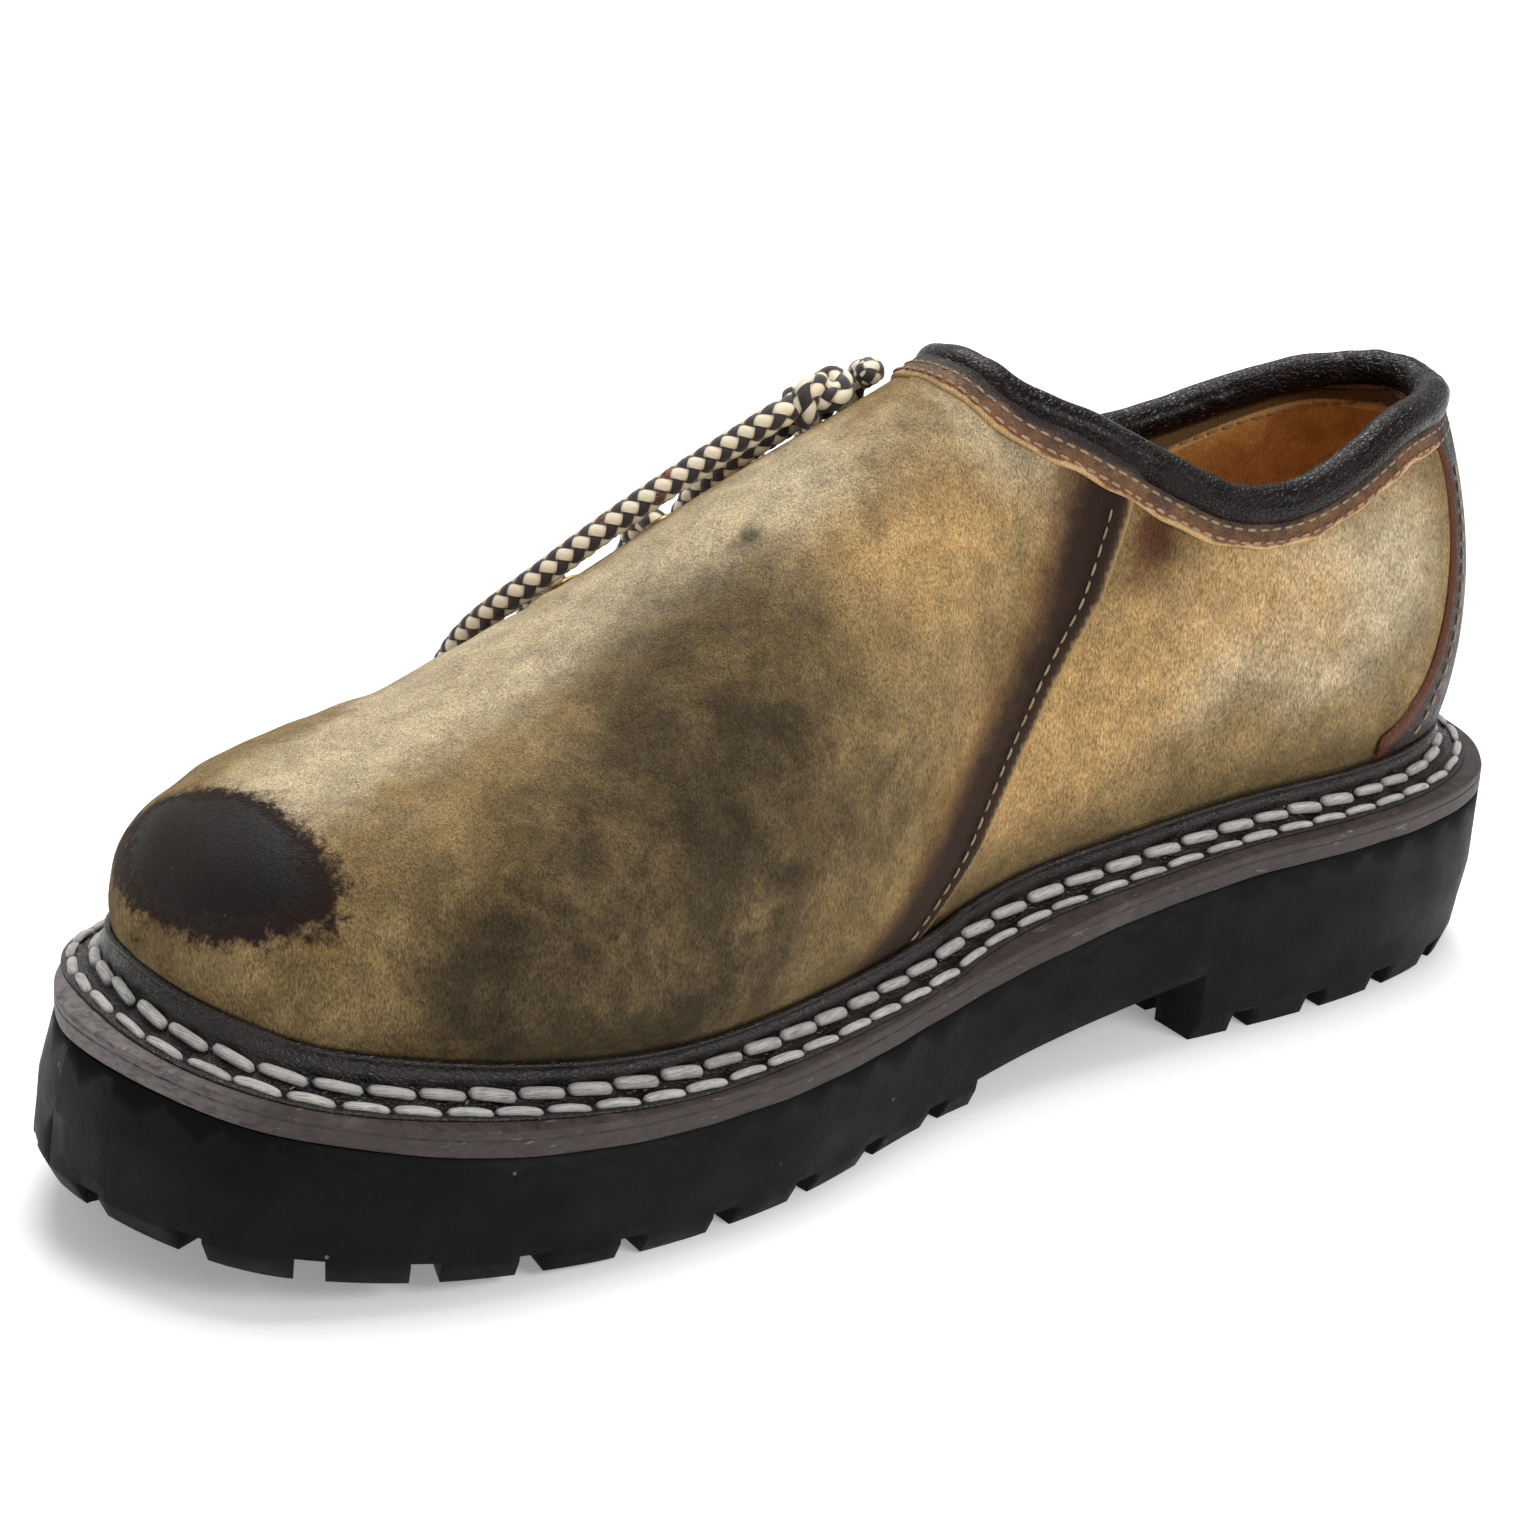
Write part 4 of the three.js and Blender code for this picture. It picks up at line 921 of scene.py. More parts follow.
def suede_material():
    """Rubbed suede: olive brown, with the beige, golden and grey areas of the piece's masks (the grey partly
    painted shade low on the vamp), painted shade towards the sole, a burnished band along the seam, a
    near-black toe and raw edges, all frayed by the nap"""
    material, tree, shader = new_material(
        "suede", srgb(150, 128, 88), Roughness=0.85, Specular_Ior_Level=0.16,
        Sheen_Weight=0.06, Sheen_Roughness=0.5, Sheen_Tint=srgb(235, 215, 175),
    )
    nap = use_group(tree, short_nap, size=1.0)
    where = place_in(tree)
    clouds = noise(tree, where, 30.0, 6, 0.65, 0.6)
    fray = around_zero(tree, noise(tree, where, 420.0, 5, 0.75))
    broad = around_zero(tree, noise(tree, where, 62.0, 5, 0.65, 0.6))

    def mask(name, wander, low=0.1, high=1.05):
        """Mask of the piece whose edge wanders with the broad noise and frays with the fine one"""
        bent = plus(tree, attribute(tree, name), times(tree, broad, wander))
        bent = plus(tree, bent, times(tree, fray, 0.5))
        return ramp(tree, bent, low, high)

    color = dye(tree, ramp(tree, clouds, 0.3, 0.7), srgb(116, 95, 60), srgb(150, 126, 86))
    color = dye(tree, mask("beige", 1.3), color, srgb(186, 168, 136))
    color = dye(tree, times(tree, mask("gold", 1.3), 0.85), color, srgb(182, 147, 97))
    # grey: the suede's grey areas, partly painted shade low on the vamp
    color = dye(tree, times(tree, mask("grey", 1.5, 0.1, 1.25), 0.95), color, srgb(50, 42, 29))
    color = dye(tree, times(tree, mask("brown", 0.8), 0.95), color, srgb(70, 38, 20))
    # painted shade: the suede is darker towards the sole by the mask 'low', its edge wandering with the broad
    # noise
    painted_low_shade = ramp(tree, plus(tree, attribute(tree, "low"), broad), 0.1, 1.0, 1.0, 0.56)
    color = shade(tree, color, painted_low_shade)
    color = shade(tree, color, ramp(tree, nap["Tone"], 0.32, 0.68, 0.5, 1.5))
    color = shade(tree, color, ramp(tree, nap["Mottle"], 0.3, 0.72, 0.78, 1.2))
    burnish = mask("burnish", 0.5, 0.25, 0.95)
    color = dye(tree, mask("burnish", 0.6, 0.05, 0.5), color, dye(tree, 0.5, color, srgb(88, 48, 24)))
    color = dye(tree, times(tree, burnish, 0.97), color, srgb(30, 12, 5))
    color = dye(tree, times(tree, attribute(tree, "lip"), 0.75), color, srgb(176, 146, 98))
    ragged = plus(tree, attribute(tree, "toe"), times(tree, fray, 9.0))
    ragged = plus(tree, ragged, times(tree, broad, 6.0))
    stain = ramp(tree, ragged, -1.0, 1.6, 1.0, 0.0)
    deep = ramp(tree, ragged, -4.0, -0.8, 1.0, 0.0)
    color = dye(tree, stain, color, srgb(34, 19, 16))
    color = dye(tree, deep, color, srgb(13, 8, 9))
    dust = use_group(tree, dust_specks, amount=0.14, size=0.5)
    speck = times(tree, dust["Mask"], times(tree, deep, 0.3))
    color = dye(tree, speck, color, srgb(150, 138, 130))
    color = dye(tree, times(tree, attribute(tree, "raw"), 0.8), color, srgb(150, 116, 70))
    worn = calc(tree, "MAXIMUM", deep, times(tree, burnish, 0.55))
    rough = ramp(tree, worn, 0.0, 1.0, 0.9, 0.5)
    rough = plus(tree, rough, times(tree, around_zero(tree, nap["Tone"]), 0.3))
    relief = times(tree, nap["Height"], ramp(tree, worn, 0.0, 1.0, 1.0, 0.4))
    finish(tree, shader, color, rough, relief, 0.0006)
    return material


def lining_material():
    """Tan suede lining: golden inside, an olive band under the roll and a light edge line"""
    material, tree, shader = new_material(
        "lining", srgb(165, 112, 52), Roughness=0.9, Sheen_Weight=0.3, Sheen_Tint=srgb(240, 190, 120),
    )
    nap = use_group(tree, short_nap, size=1.1)
    tone = ramp(tree, nap["Tone"], 0.3, 0.7, 0.75, 1.22)
    mottle = ramp(tree, nap["Mottle"], 0.3, 0.7)
    color = dye(tree, mottle, srgb(176, 116, 50), srgb(218, 160, 86))
    depth = attribute(tree, "depth")
    band = ramp(tree, depth, 3.2, 3.6, 1.0, 0.0)
    color = dye(tree, band, color, srgb(96, 76, 46))
    line = times(tree, ramp(tree, depth, 3.2, 3.6), ramp(tree, depth, 4.0, 4.4, 1.0, 0.0))
    color = dye(tree, times(tree, line, 0.8), color, srgb(224, 180, 112))
    color = shade(tree, color, tone)
    finish(tree, shader, color, ramp(tree, nap["Tone"], 0.3, 0.7, 0.95, 0.75), nap["Height"], 0.0005)
    return material


def smooth_leather(
    name, dark, light, edge=None, gloss=0.35, specular=0.5, coat=0.0, grain=1.0, dusty=0.02, depth=0.00012,
):
    """Smooth leather: two tones over its grain, rubbed edges where the piece has a mask "raw", specks"""
    material, tree, shader = new_material(
        name, dark, Roughness=gloss, Specular_Ior_Level=specular, Coat_Weight=coat, Coat_Roughness=0.2,
    )
    parts = use_group(tree, leather_grain, size=grain)
    dust = use_group(tree, dust_specks, amount=dusty, size=0.7)
    color = dye(tree, ramp(tree, parts["Tone"], 0.35, 0.7), dark, light)
    if edge:
        worn = plus(tree, attribute(tree, "raw"), times(tree, around_zero(tree, parts["Tone"]), 0.8))
        color = dye(tree, ramp(tree, worn, 0.3, 0.75), color, edge)
    color = dye(tree, times(tree, dust["Mask"], 0.6), color, srgb(176, 170, 164))
    rough = ramp(tree, parts["Tone"], 0.3, 0.75, gloss - 0.08, gloss + 0.18)
    finish(tree, shader, color, rough, parts["Height"], depth)
    return material


def midsole_material():
    """Satin edge: dark grey-brown with faint lengthwise scuffs, rubbed pale patches and a chalky toe"""
    material, tree, shader = new_material(
        "midsole", srgb(70, 62, 58), Roughness=0.55, Specular_Ior_Level=0.35,
    )
    where = place_in(tree)
    streaks = noise(tree, stretched(tree, where, (1.0, 1.0, 2.6)), 420.0, 6, 0.75, 0.6)
    patches = noise(tree, where, 60.0, 6, 0.7, 0.5)
    color = dye(tree, ramp(tree, streaks, 0.3, 0.75), srgb(44, 36, 34), srgb(72, 63, 60))
    color = dye(tree, times(tree, ramp(tree, patches, 0.5, 0.78), 0.5), color, srgb(116, 106, 102))
    ahead = put(tree, "SeparateXYZ", {0: where}).outputs[1]
    chalky = times(tree, ramp(tree, ahead, -0.128, -0.146), ramp(tree, streaks, 0.3, 0.6))
    color = dye(tree, times(tree, chalky, 0.4), color, srgb(150, 144, 142))
    scratch = noise(tree, stretched(tree, where, (1.0, 0.16, 1.0)), 900.0, 3, 0.6)
    color = dye(tree, times(tree, ramp(tree, scratch, 0.64, 0.72), 0.4), color, srgb(150, 140, 134))
    height = plus(tree, streaks, times(tree, patches, 0.6))
    finish(tree, shader, color, ramp(tree, streaks, 0.3, 0.7, 0.45, 0.68), height, 0.0003)
    return material


def rubber_material():
    """Matte black rubber with fine moulded grain, dust specks and a faint haze of wear"""
    material, tree, shader = new_material("rubber", srgb(24, 24, 27), Roughness=0.62, Specular_Ior_Level=0.13)
    where = place_in(tree)
    fine = noise(tree, where, 900.0, 4, 0.6)
    dust = use_group(tree, dust_specks, amount=0.035, size=1.0)
    color = dye(tree, times(tree, dust["Haze"], 0.15), srgb(2, 2, 3), srgb(24, 23, 25))
    color = dye(tree, times(tree, dust["Mask"], 0.5), color, srgb(130, 128, 124))
    soft = noise(tree, where, 70.0, 3, 0.5)
    height = plus(tree, times(tree, fine, 0.25), soft)
    finish(tree, shader, color, ramp(tree, soft, 0.3, 0.7, 0.5, 0.66), height, 0.0004)
    return material


def thread_material(name, light, dark, lines=1.0):
    """Twisted thread: fine fibres and plies that run along it with a slant, with painted shade in its grooves
    and towards each stitch's ends, and patches of dirt
    """
    material, tree, shader = new_material(name, light, Roughness=0.8, Sheen_Weight=0.15)
    where = place_in(tree)
    along, round_, tone = (attribute(tree, key) for key in ("along", "round", "tone"))
    lean = plus(tree, times(tree, round_, 16.0 * lines), times(tree, along, 5.0))
    strand = put(tree, "CombineXYZ", {0: lean, 1: times(tree, along, 2.2), 2: times(tree, tone, 40.0)})
    fibres = noise(tree, strand.outputs[0], 1.0, 5, 0.7)
    dirt = noise(tree, where, 260.0, 4, 0.6)
    # painted shade in the grooves between the fibres and plies
    gap = ramp(tree, fibres, 0.36, 0.54, 1.0, 0.0)
    color = dye(tree, times(tree, gap, 0.7), light, dark)
    # painted shade towards each stitch's ends, where it sinks into the leather, with dirt in patches
    ends = ramp(tree, calc(tree, "ABSOLUTE", around_zero(tree, along)), 0.36, 0.5)
    end_shade_and_dirt = times(tree, plus(tree, ends, ramp(tree, dirt, 0.5, 0.75)), 0.35)
    color = dye(tree, end_shade_and_dirt, color, dark)
    finish(tree, shader, color, None, fibres, 0.0009)
    return material


# Braid of the lace: strands of each way round it, the run of one of them along it, and half widths
strand_count = 4
strand_pitch = 3.5
cream_half = 0.46
dark_half = 0.42


def lace_material():
    """Braid, with the formula of braid_relief on the piece's own run: the strands of one way are cream and
    those of the other dark, with rust in places, and each gets painted shade where it dips under"""
    material, tree, shader = new_material("lace", srgb(150, 125, 92), Roughness=0.7, Sheen_Weight=0.3)
    where = place_in(tree)
    run = put(tree, "SeparateXYZ", {0: put(tree, "UVMap", uv_map="run").outputs[0]}).outputs
    turns = times(tree, run[0], float(strand_count))
    steps = calc(tree, "DIVIDE", run[1], strand_pitch)
    a, b = plus(tree, turns, steps), calc(tree, "SUBTRACT", turns, steps)
    i, j = calc(tree, "FLOOR", a), calc(tree, "FLOOR", b)

    def strand(own, index, other, half, sign):
        """Height of a strand: its round bar times its swing over and under the other family"""
        off = calc(tree, "DIVIDE", around_zero(tree, calc(tree, "SUBTRACT", own, index)), half)
        squared = calc(tree, "POWER", calc(tree, "ABSOLUTE", off), 2.0)
        bar = calc(tree, "SQRT", calc(tree, "MAXIMUM", calc(tree, "SUBTRACT", 1.0, squared), 0.0))
        swing = calc(tree, "SINE", times(tree, plus(tree, other, index), float(np.pi)))
        return times(tree, bar, plus(tree, 0.55, times(tree, swing, sign * 0.45)))

    first, second = strand(a, i, b, cream_half, 1), strand(b, j, a, dark_half, -1)
    fibres = noise(tree, where, 2200.0, 3, 0.6)
    own_j = calc(tree, "FLOORED_MODULO", j, float(strand_count))
    cream, dark, rust = srgb(226, 212, 184), srgb(40, 28, 24), srgb(160, 90, 50)
    in_places = ramp(tree, noise(tree, where, 70.0, 2, 0.5), 0.5, 0.56)
    rusty = times(tree, calc(tree, "COMPARE", own_j, 0.0, 0.5), in_places)
    two = dye(tree, rusty, dark, dye(tree, ramp(tree, fibres, 0.4, 0.7), dark, rust))
    color = dye(tree, calc(tree, "GREATER_THAN", first, second), two, cream)
    crest = calc(tree, "MAXIMUM", first, second)
    # painted shade: darker where the strands dip under each other
    color = shade(tree, color, ramp(tree, plus(tree, crest, times(tree, fibres, 0.2)), 0.15, 0.8, 0.22, 1.05))
    finish(tree, shader, color, None, fibres, 0.00015)
    return material


def facing_material():
    """Strip under the roll: brown leather with painted shade by the roll, a rubbed rust and pale lower edge
    """
    material, tree, shader = new_material("facing", srgb(112, 78, 48), Specular_Ior_Level=0.4)
    parts = use_group(tree, leather_grain, size=0.6)
    depth = attribute(tree, "depth")
    wander = times(tree, around_zero(tree, noise(tree, place_in(tree), 150.0, 5, 0.65)), 3.0)
    level = plus(tree, depth, wander)
    color = dye(tree, ramp(tree, parts["Tone"], 0.35, 0.7), srgb(70, 46, 29), srgb(116, 84, 52))
    # painted shade: near-black next to the roll, where the roll overhangs the strip
    color = dye(tree, ramp(tree, level, 3.0, 4.4, 1.0, 0.0), color, srgb(34, 22, 17))
    color = dye(tree, times(tree, ramp(tree, level, 5.4, 6.4), 0.8), color, srgb(118, 68, 34))
    color = dye(tree, ramp(tree, level, 6.9, 7.6), color, srgb(200, 164, 112))
    finish(tree, shader, color, ramp(tree, parts["Tone"], 0.3, 0.7, 0.5, 0.75), parts["Height"], 0.00015)
    return material


def brass_material():
    """Aged brass: a brown film over the metal, thinner where the noise is high"""
    material, tree, shader = new_material("brass", srgb(150, 118, 62), Metallic=1.0)
    film = noise(tree, place_in(tree), 500.0, 4, 0.6)
    color = dye(tree, ramp(tree, film, 0.35, 0.65), srgb(96, 70, 38), srgb(190, 152, 86))
    finish(tree, shader, color, ramp(tree, film, 0.3, 0.7, 0.45, 0.25), film, 0.0001)
    return material


suede = suede_material()
lining = lining_material()
roll_leather = smooth_leather(
    "binding", srgb(12, 6, 5), srgb(26, 15, 13), gloss=0.26, specular=0.15, coat=0.05, grain=0.8, dusty=0.03,
    depth=0.0002,
)
strip_leather = smooth_leather(
    "strip", srgb(20, 12, 10), srgb(44, 28, 22), srgb(84, 46, 25), gloss=0.45, specular=0.22, grain=0.9,
)
facing = facing_material()
welt_leather = smooth_leather("welt", srgb(20, 15, 14), srgb(38, 30, 27), gloss=0.42, grain=0.8, dusty=0.03)
midsole_edge = midsole_material()
rubber = rubber_material()
white_thread = thread_material("welt_thread", srgb(244, 240, 236), srgb(128, 118, 110))
tan_thread = thread_material("seam_thread", srgb(204, 178, 138), srgb(110, 82, 52), 0.4)
lace = lace_material()
brass = brass_material()


# Upper


def blob(point, s, x, z, reach):
    """Soft round patch: falls off as a bell curve with the distance from a point on the leather"""
    away = np.stack([foot_run(point) - s, point[:, 0] - x, point[:, 2] - z], -1)
    return np.exp(-np.sum(away**2, -1) / reach**2)


def blobs(point, rows):
    """Sum of the patches of a table, held at one"""
    return np.minimum(sum(strength * blob(point, *row) for *row, strength in rows), 1)


# Patches on the suede: s, across, height over the floor, reach and strength
golden_patches = [
    (147, 23, 104, 15, 1), (137, 31, 60, 17, 1), (120, 28, 66, 15, 0.8), (103, 29, 80, 18, 0.8),
    (84, 29, 90, 16, 0.6), (66, 32, 84, 16, 0.5), (147, -23, 100, 16, 0.7), (120, -30, 70, 20, 0.8),
    (70, -33, 80, 20, 0.7), (166, 22, 104, 10, 0.5),
]
beige_patches = [
    (165, 2, 112, 18, 1), (190, -4, 100, 18, 0.9), (215, -6, 90, 18, 0.9), (240, -4, 80, 18, 0.9),
    (262, 2, 73, 14, 1), (130, 14, 121, 14, 0.8), (226, -19, 80, 16, 0.8), (60, 32, 72, 18, 0.6),
    (92, 30, 76, 16, 0.8), (45, 31, 88, 16, 0.9), (72, 32, 86, 14, 0.8), (200, -30, 80, 20, 0.6),
    (278, 24, 66, 8, 0.5),
]
# Grey patches: the suede's own grey-olive areas, and painted shade low on the inner vamp towards the toe
grey_and_shade_patches = [
    (201, 26, 86, 25, 0.62), (188, 40, 70, 23, 0.5), (215, 38, 70, 21, 0.42), (180, 24, 97, 15, 0.25),
    (179, 10, 105, 2.4, 0.7), (129, 17, 120, 6, 0.4), (48, 33, 66, 13, 0.45), (240, 40, 58, 18, 0.4),
    (196, 8, 97, 14, 0.35), (52, -32, 70, 16, 0.7), (210, -36, 62, 18, 0.6), (165, 36, 66, 16, 0.4),
    (36, 30, 76, 9, 0.2), (249, 42, 50, 19, 0.6), (275, 30, 50, 15, 0.45), (229, 44, 46, 20, 0.85),
    (205, 44, 50, 21, 0.65), (225, 36, 74, 20, 0.3),
]
brown_patches = [(103, 26, 100, 6, 1), (99, 26.5, 94, 6, 0.5), (108, 27, 92, 5, 0.5), (104, -27, 92, 7, 0.7)]


def toe_distance(point):
    """Signed distance from the dark toe patch: an ellipse over x and over the slope of the toe"""
    s = foot_run(point)
    down = (s - 276) * 0.81 - (point[:, 2] - 65) * 0.59 + 0.15 * (point[:, 0] - 4)
    size = np.sqrt(((point[:, 0] - 4) / 25) ** 2 + (down / np.where(down < 0, 12.5, 14)) ** 2)
    return (size - 1) * 14


def seam_distance(point, angle):
    """Distance ahead of the vamp's edge: of the inner seam, or of the outer one below the slit"""
    s = foot_run(point)
    degrees = np.degrees(angle)
    inner = s - seam_along(inner_seam, point[:, 2])
    outer = s - seam_along(outer_seam, point[:, 2]) + 6 * share(slit_middle(s) + 12, degrees, degrees + 8)
    return np.where(degrees < 100, inner, outer) * seam_lean


def burnish_mask(point, angle):
    """Band ahead of the vamp's edge, wider towards the welt, that fades forwards"""
    ahead = seam_distance(point, angle)
    reach = 19 + 5 * share(point[:, 2], 80, 45)
    degrees = np.degrees(angle)
    slit = slit_middle(foot_run(point))
    return smooth(ahead, reach, reach - 15) * np.where(degrees < 100, 1, smooth(degrees, slit - 2, slit + 4))


suede_values = {
    "toe": lambda p, a, point: toe_distance(point),
    # low: mask of painted shade that darkens the suede towards the sole
    "low": lambda p, a, point: smooth(point[:, 2] - midsole_top(foot_run(point)), 26, 3),
    "gold": lambda p, a, point: blobs(point, golden_patches),
    "beige": lambda p, a, point: blobs(point, beige_patches),
    "grey": lambda p, a, point: blobs(point, grey_and_shade_patches),
    "brown": lambda p, a, point: blobs(point, brown_patches),
}

# Long soft waves in the leather: half turns to a millimetre, turns round the section, phase and height
waves = [
    (0.052, 2.1, 0.3, 0.22), (0.09, 3.4, 1.9, 0.14), (0.031, 4.2, 4.0, 0.16), (0.14, 1.3, 2.6, 0.09),
    (0.2, 5.5, 5.1, 0.06),
]


def unevenness(s, angle):
    """Sum of slow waves, each a sine along the foot with a slant round the section"""
    return sum(
        height * np.sin(np.pi * often * s + turn * angle + phase) for often, turn, phase, height in waves
    )


# Creases: from and to (s and degrees), half width and depth, negative for a trough
vamp_creases = [
    ((176, 30), (150, 62), 5.0, -0.5), ((186, 24), (166, 50), 4.0, 0.35), ((205, 12), (190, 40), 6.0, -0.4),
    ((160, 10), (146, 34), 4.0, -0.35), ((232, 60), (222, 100), 7.0, -0.35), ((238, 20), (230, 50), 6.0, 0.3),
]
quarter_creases = [
    ((112, 10), (98, 30), 4.0, -0.6), ((104, 0), (86, 22), 4.0, 0.45), ((92, -8), (74, 18), 5.0, -0.45),
    ((60, 4), (46, 30), 5.0, -0.4), ((120, -8), (110, 8), 3.5, 0.4), ((100, 170), (80, 152), 5.0, -0.5),
]


def creased(s, degrees, rows):
    """Each crease is a soft trough or ridge: a bell curve across a straight line, fading at its ends"""
    spot = unrolled(s, degrees)
    total = np.zeros(len(s))
    for start, end, half, depth in rows:
        start, end = unrolled(*np.array(start, float)), unrolled(*np.array(end, float))
        way = end - start
        along = ((spot - start) @ way) / (way @ way)
        off = np.linalg.norm(spot - start - np.clip(along, 0, 1)[:, None] * way, axis=1)
        total += depth * np.exp(-((off / half) ** 2))
    return total


def vamp_lift(place, angle, point):
    """Lift of the vamp: waves and creases that fade at its edges, and a turned edge with a groove ahead"""
    s = last["along"](place)
    lift = unevenness(s, angle) + creased(s, np.degrees(angle), vamp_creases)
    edge = seam_distance(point, angle)
    ridge = 0.35 * np.exp(-(((edge - 1.6) / 1.6) ** 2)) - 0.3 * np.exp(-(((edge - 4.6) / 0.9) ** 2))
    return lift * smooth(edge, 0, 12) * smooth(point[:, 2] - midsole_top(s), 6, 16) + ridge


def quarter_lift(place, angle, point):
    """Lift of the quarters: waves and creases, a step below the vamp"""
    s = last["along"](place)
    lift = unevenness(s, angle + 1.0) + creased(s, np.degrees(angle), quarter_creases)
    return lift * smooth(point[:, 2] - midsole_top(s), 6, 16) - quarter_step


def all_over(place, angle):
    """Distance into the upper's leather, from the collar, the slit, the sole and the eyelets"""
    limits = (beyond_collar, beside_slit, above_sole, clear_of_eyelets)
    return np.minimum.reduce([limit(place, angle) for limit in limits])


def quarter_area(place, angle):
    """Quarters: up to 9 mm beneath the vamp, but not past the slit's middle"""
    degrees = np.degrees(angle)
    s = last["along"](place)
    under = 9 - ahead_of_seams(place, angle)
    low = np.where(s > slit_back, (degrees - slit_middle(s)) * degrees_round, under)
    return np.minimum.reduce([all_over(place, angle), np.where(degrees > 90, np.minimum(under, low), under)])


fine_angles = np.radians(np.linspace(-90, 270, 301))
vamp_places = np.concatenate([
    place_of(np.linspace(94, 284, 186)), np.linspace(place_of(284.8), last_end, 22),
])
quarter_places = np.concatenate([np.linspace(0, place_of(12), 24), place_of(np.linspace(12.6, 206, 180))])
sheet_piece(
    "vamp", suede, vamp_places, fine_angles,
    lambda p, a: np.minimum(all_over(p, a), ahead_of_seams(p, a)), vamp_lift,
    {
        **suede_values, "burnish": lambda p, a, point: burnish_mask(point, a),
        "lip": lambda p, a, point: np.exp(-np.abs(seam_distance(point, a)) / 0.35) * burnish_mask(point, a),
    },
    rim=wall,
)
sheet_piece(
    "quarters", suede, quarter_places, fine_angles, quarter_area, quarter_lift, suede_values,
    rim=wall - quarter_step,
)
lining_places = np.concatenate([
    np.linspace(0, place_of(12), 12), place_of(np.linspace(13.5, 284, 150)),
    np.linspace(place_of(285), last_end, 10),
])
sheet_piece(
    "lining", lining, lining_places, np.radians(np.linspace(-90, 270, 181)),
    lambda p, a: np.minimum.reduce([beyond_collar(p, a), beside_slit(p, a), above_sole(p, a)]),
    lambda p, a, point: -wall, {"depth": lambda p, a, point: beyond_collar(p[None], a[None])[0]},
    inner=True,
)
vamp, quarters = bpy.data.objects["vamp"], bpy.data.objects["quarters"]
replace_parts(vamp, "upper")


# Threads


def stitch_row(
    name, path, ups, pitch, fill, width, height, material, closed=False, bend=0.1, twist=0.0, sides=8,
    rings=7,
):
    """Stitches at even steps along a line: each fills a share of its step, its middle stands up by bend"""
    if closed:
        path, ups = np.vstack([path, path[:1]]), np.vstack([ups, ups[:1]])
    run = run_of(path)
    count = max(int(round(run[-1] / pitch)), 1)
    step = run[-1] / count
    middle = (np.arange(count) + 0.5 + rng.uniform(-0.03, 0.03, count)) * step
    half = fill * step / 2 * rng.uniform(0.95, 1.03, count)
    return joined_capsules(
        name, sampled(middle - half, run, path), sampled(middle + half, run, path),
        sampled(middle, run, ups), width, height, material, bend, twist, sides, rings,
    )


# Outsole, midsole and welt


def sole_line(count):
    """Evenly spaced closed line round the sole, as across and s, with its inward and forward directions"""
    places = np.linspace(0, sole_end, 1500)
    inner = outline_point(places, "inner")
    outer = outline_point(places[::-1], "outer")
    line = even(np.vstack([inner[:-1], outer[:-1]]), count, closed=True)
    run = unit(np.roll(line, -1, 0) - np.roll(line, 1, 0))
    return line, np.stack([-run[:, 1], run[:, 0]], -1), run


def level_angle(place, height):
    """Angle at which the last's section passes a height above the midsole, below its widest part"""
    belly = last["belly"](place)
    return np.arcsin(np.clip((height - belly) / (belly - last["keel"](place)), -1, 1))


# Gap between the upper and the welt
welt_gap = 0.35


def foot_ring(height):
    """Closed line round the upper's foot: the last's level section at a height above the midsole, moved
    out by the welt's gap and in by the step of the quarters"""
    heel = np.linspace(0, 3, 600)
    toe = np.linspace(last_end - 4, last_end, 600)
    first = np.interp(-height, -last["keel"](heel), heel)
    final = np.interp(height, last["keel"](toe), toe)
    place = first + (final - first) * (1 - np.cos(np.linspace(0, np.pi, 700))) / 2
    tilt = level_angle(place, height)
    s = last["along"](place)
    sides = []
    for angle, foot in ((tilt, 156.0), (np.pi - tilt, 182.0)):
        drop = quarter_step * (1 - smooth(s, foot - 15, foot - 5))
        point = last_point(place, angle) + last_normal(place, angle) * (welt_gap - drop)[:, None]
        sides.append(np.stack([point[:, 0], foot_run(point)], -1))
    return np.vstack([sides[0][:-1], sides[1][::-1][:-1]])


def upper_inset(line, inward, run, height):
    """Distance from the sole's outline to the upper's foot, measured square to the outline"""
    away = foot_ring(height)[None] - line[:, None]
    along = np.abs(np.sum(away * run[:, None], -1))
    depth = np.sum(away * inward[:, None], -1)
    nearest = np.argmin(along + 1000 * ((depth < -3) | (depth > 30)), 1)
    depth = depth[np.arange(len(line)), nearest]
    return sum(np.roll(depth, k) for k in range(-3, 4)) / 7


def sole_sections(line, inward, profile, base, count=None):
    """Sections square to the outline from rows of inset and height over a base, rounded by a curve"""
    rows = np.array([
        np.stack(np.broadcast_arrays(inset, height, line[:, 0])[:2], -1) for inset, height in profile
    ])
    if count:
        flat = rows.reshape(len(rows), -1)
        turn = np.linspace(0, 1, count, endpoint=False)
        rows = catmull(flat, turn, closed=True).reshape(count, len(line), 2)
    rows = rows.transpose(1, 0, 2)
    flat = line[:, None] + inward[:, None] * rows[..., :1]
    return stack(flat[..., 0], sole_length / 2 - flat[..., 1], base(line[:, 1])[:, None] + rows[..., 1])


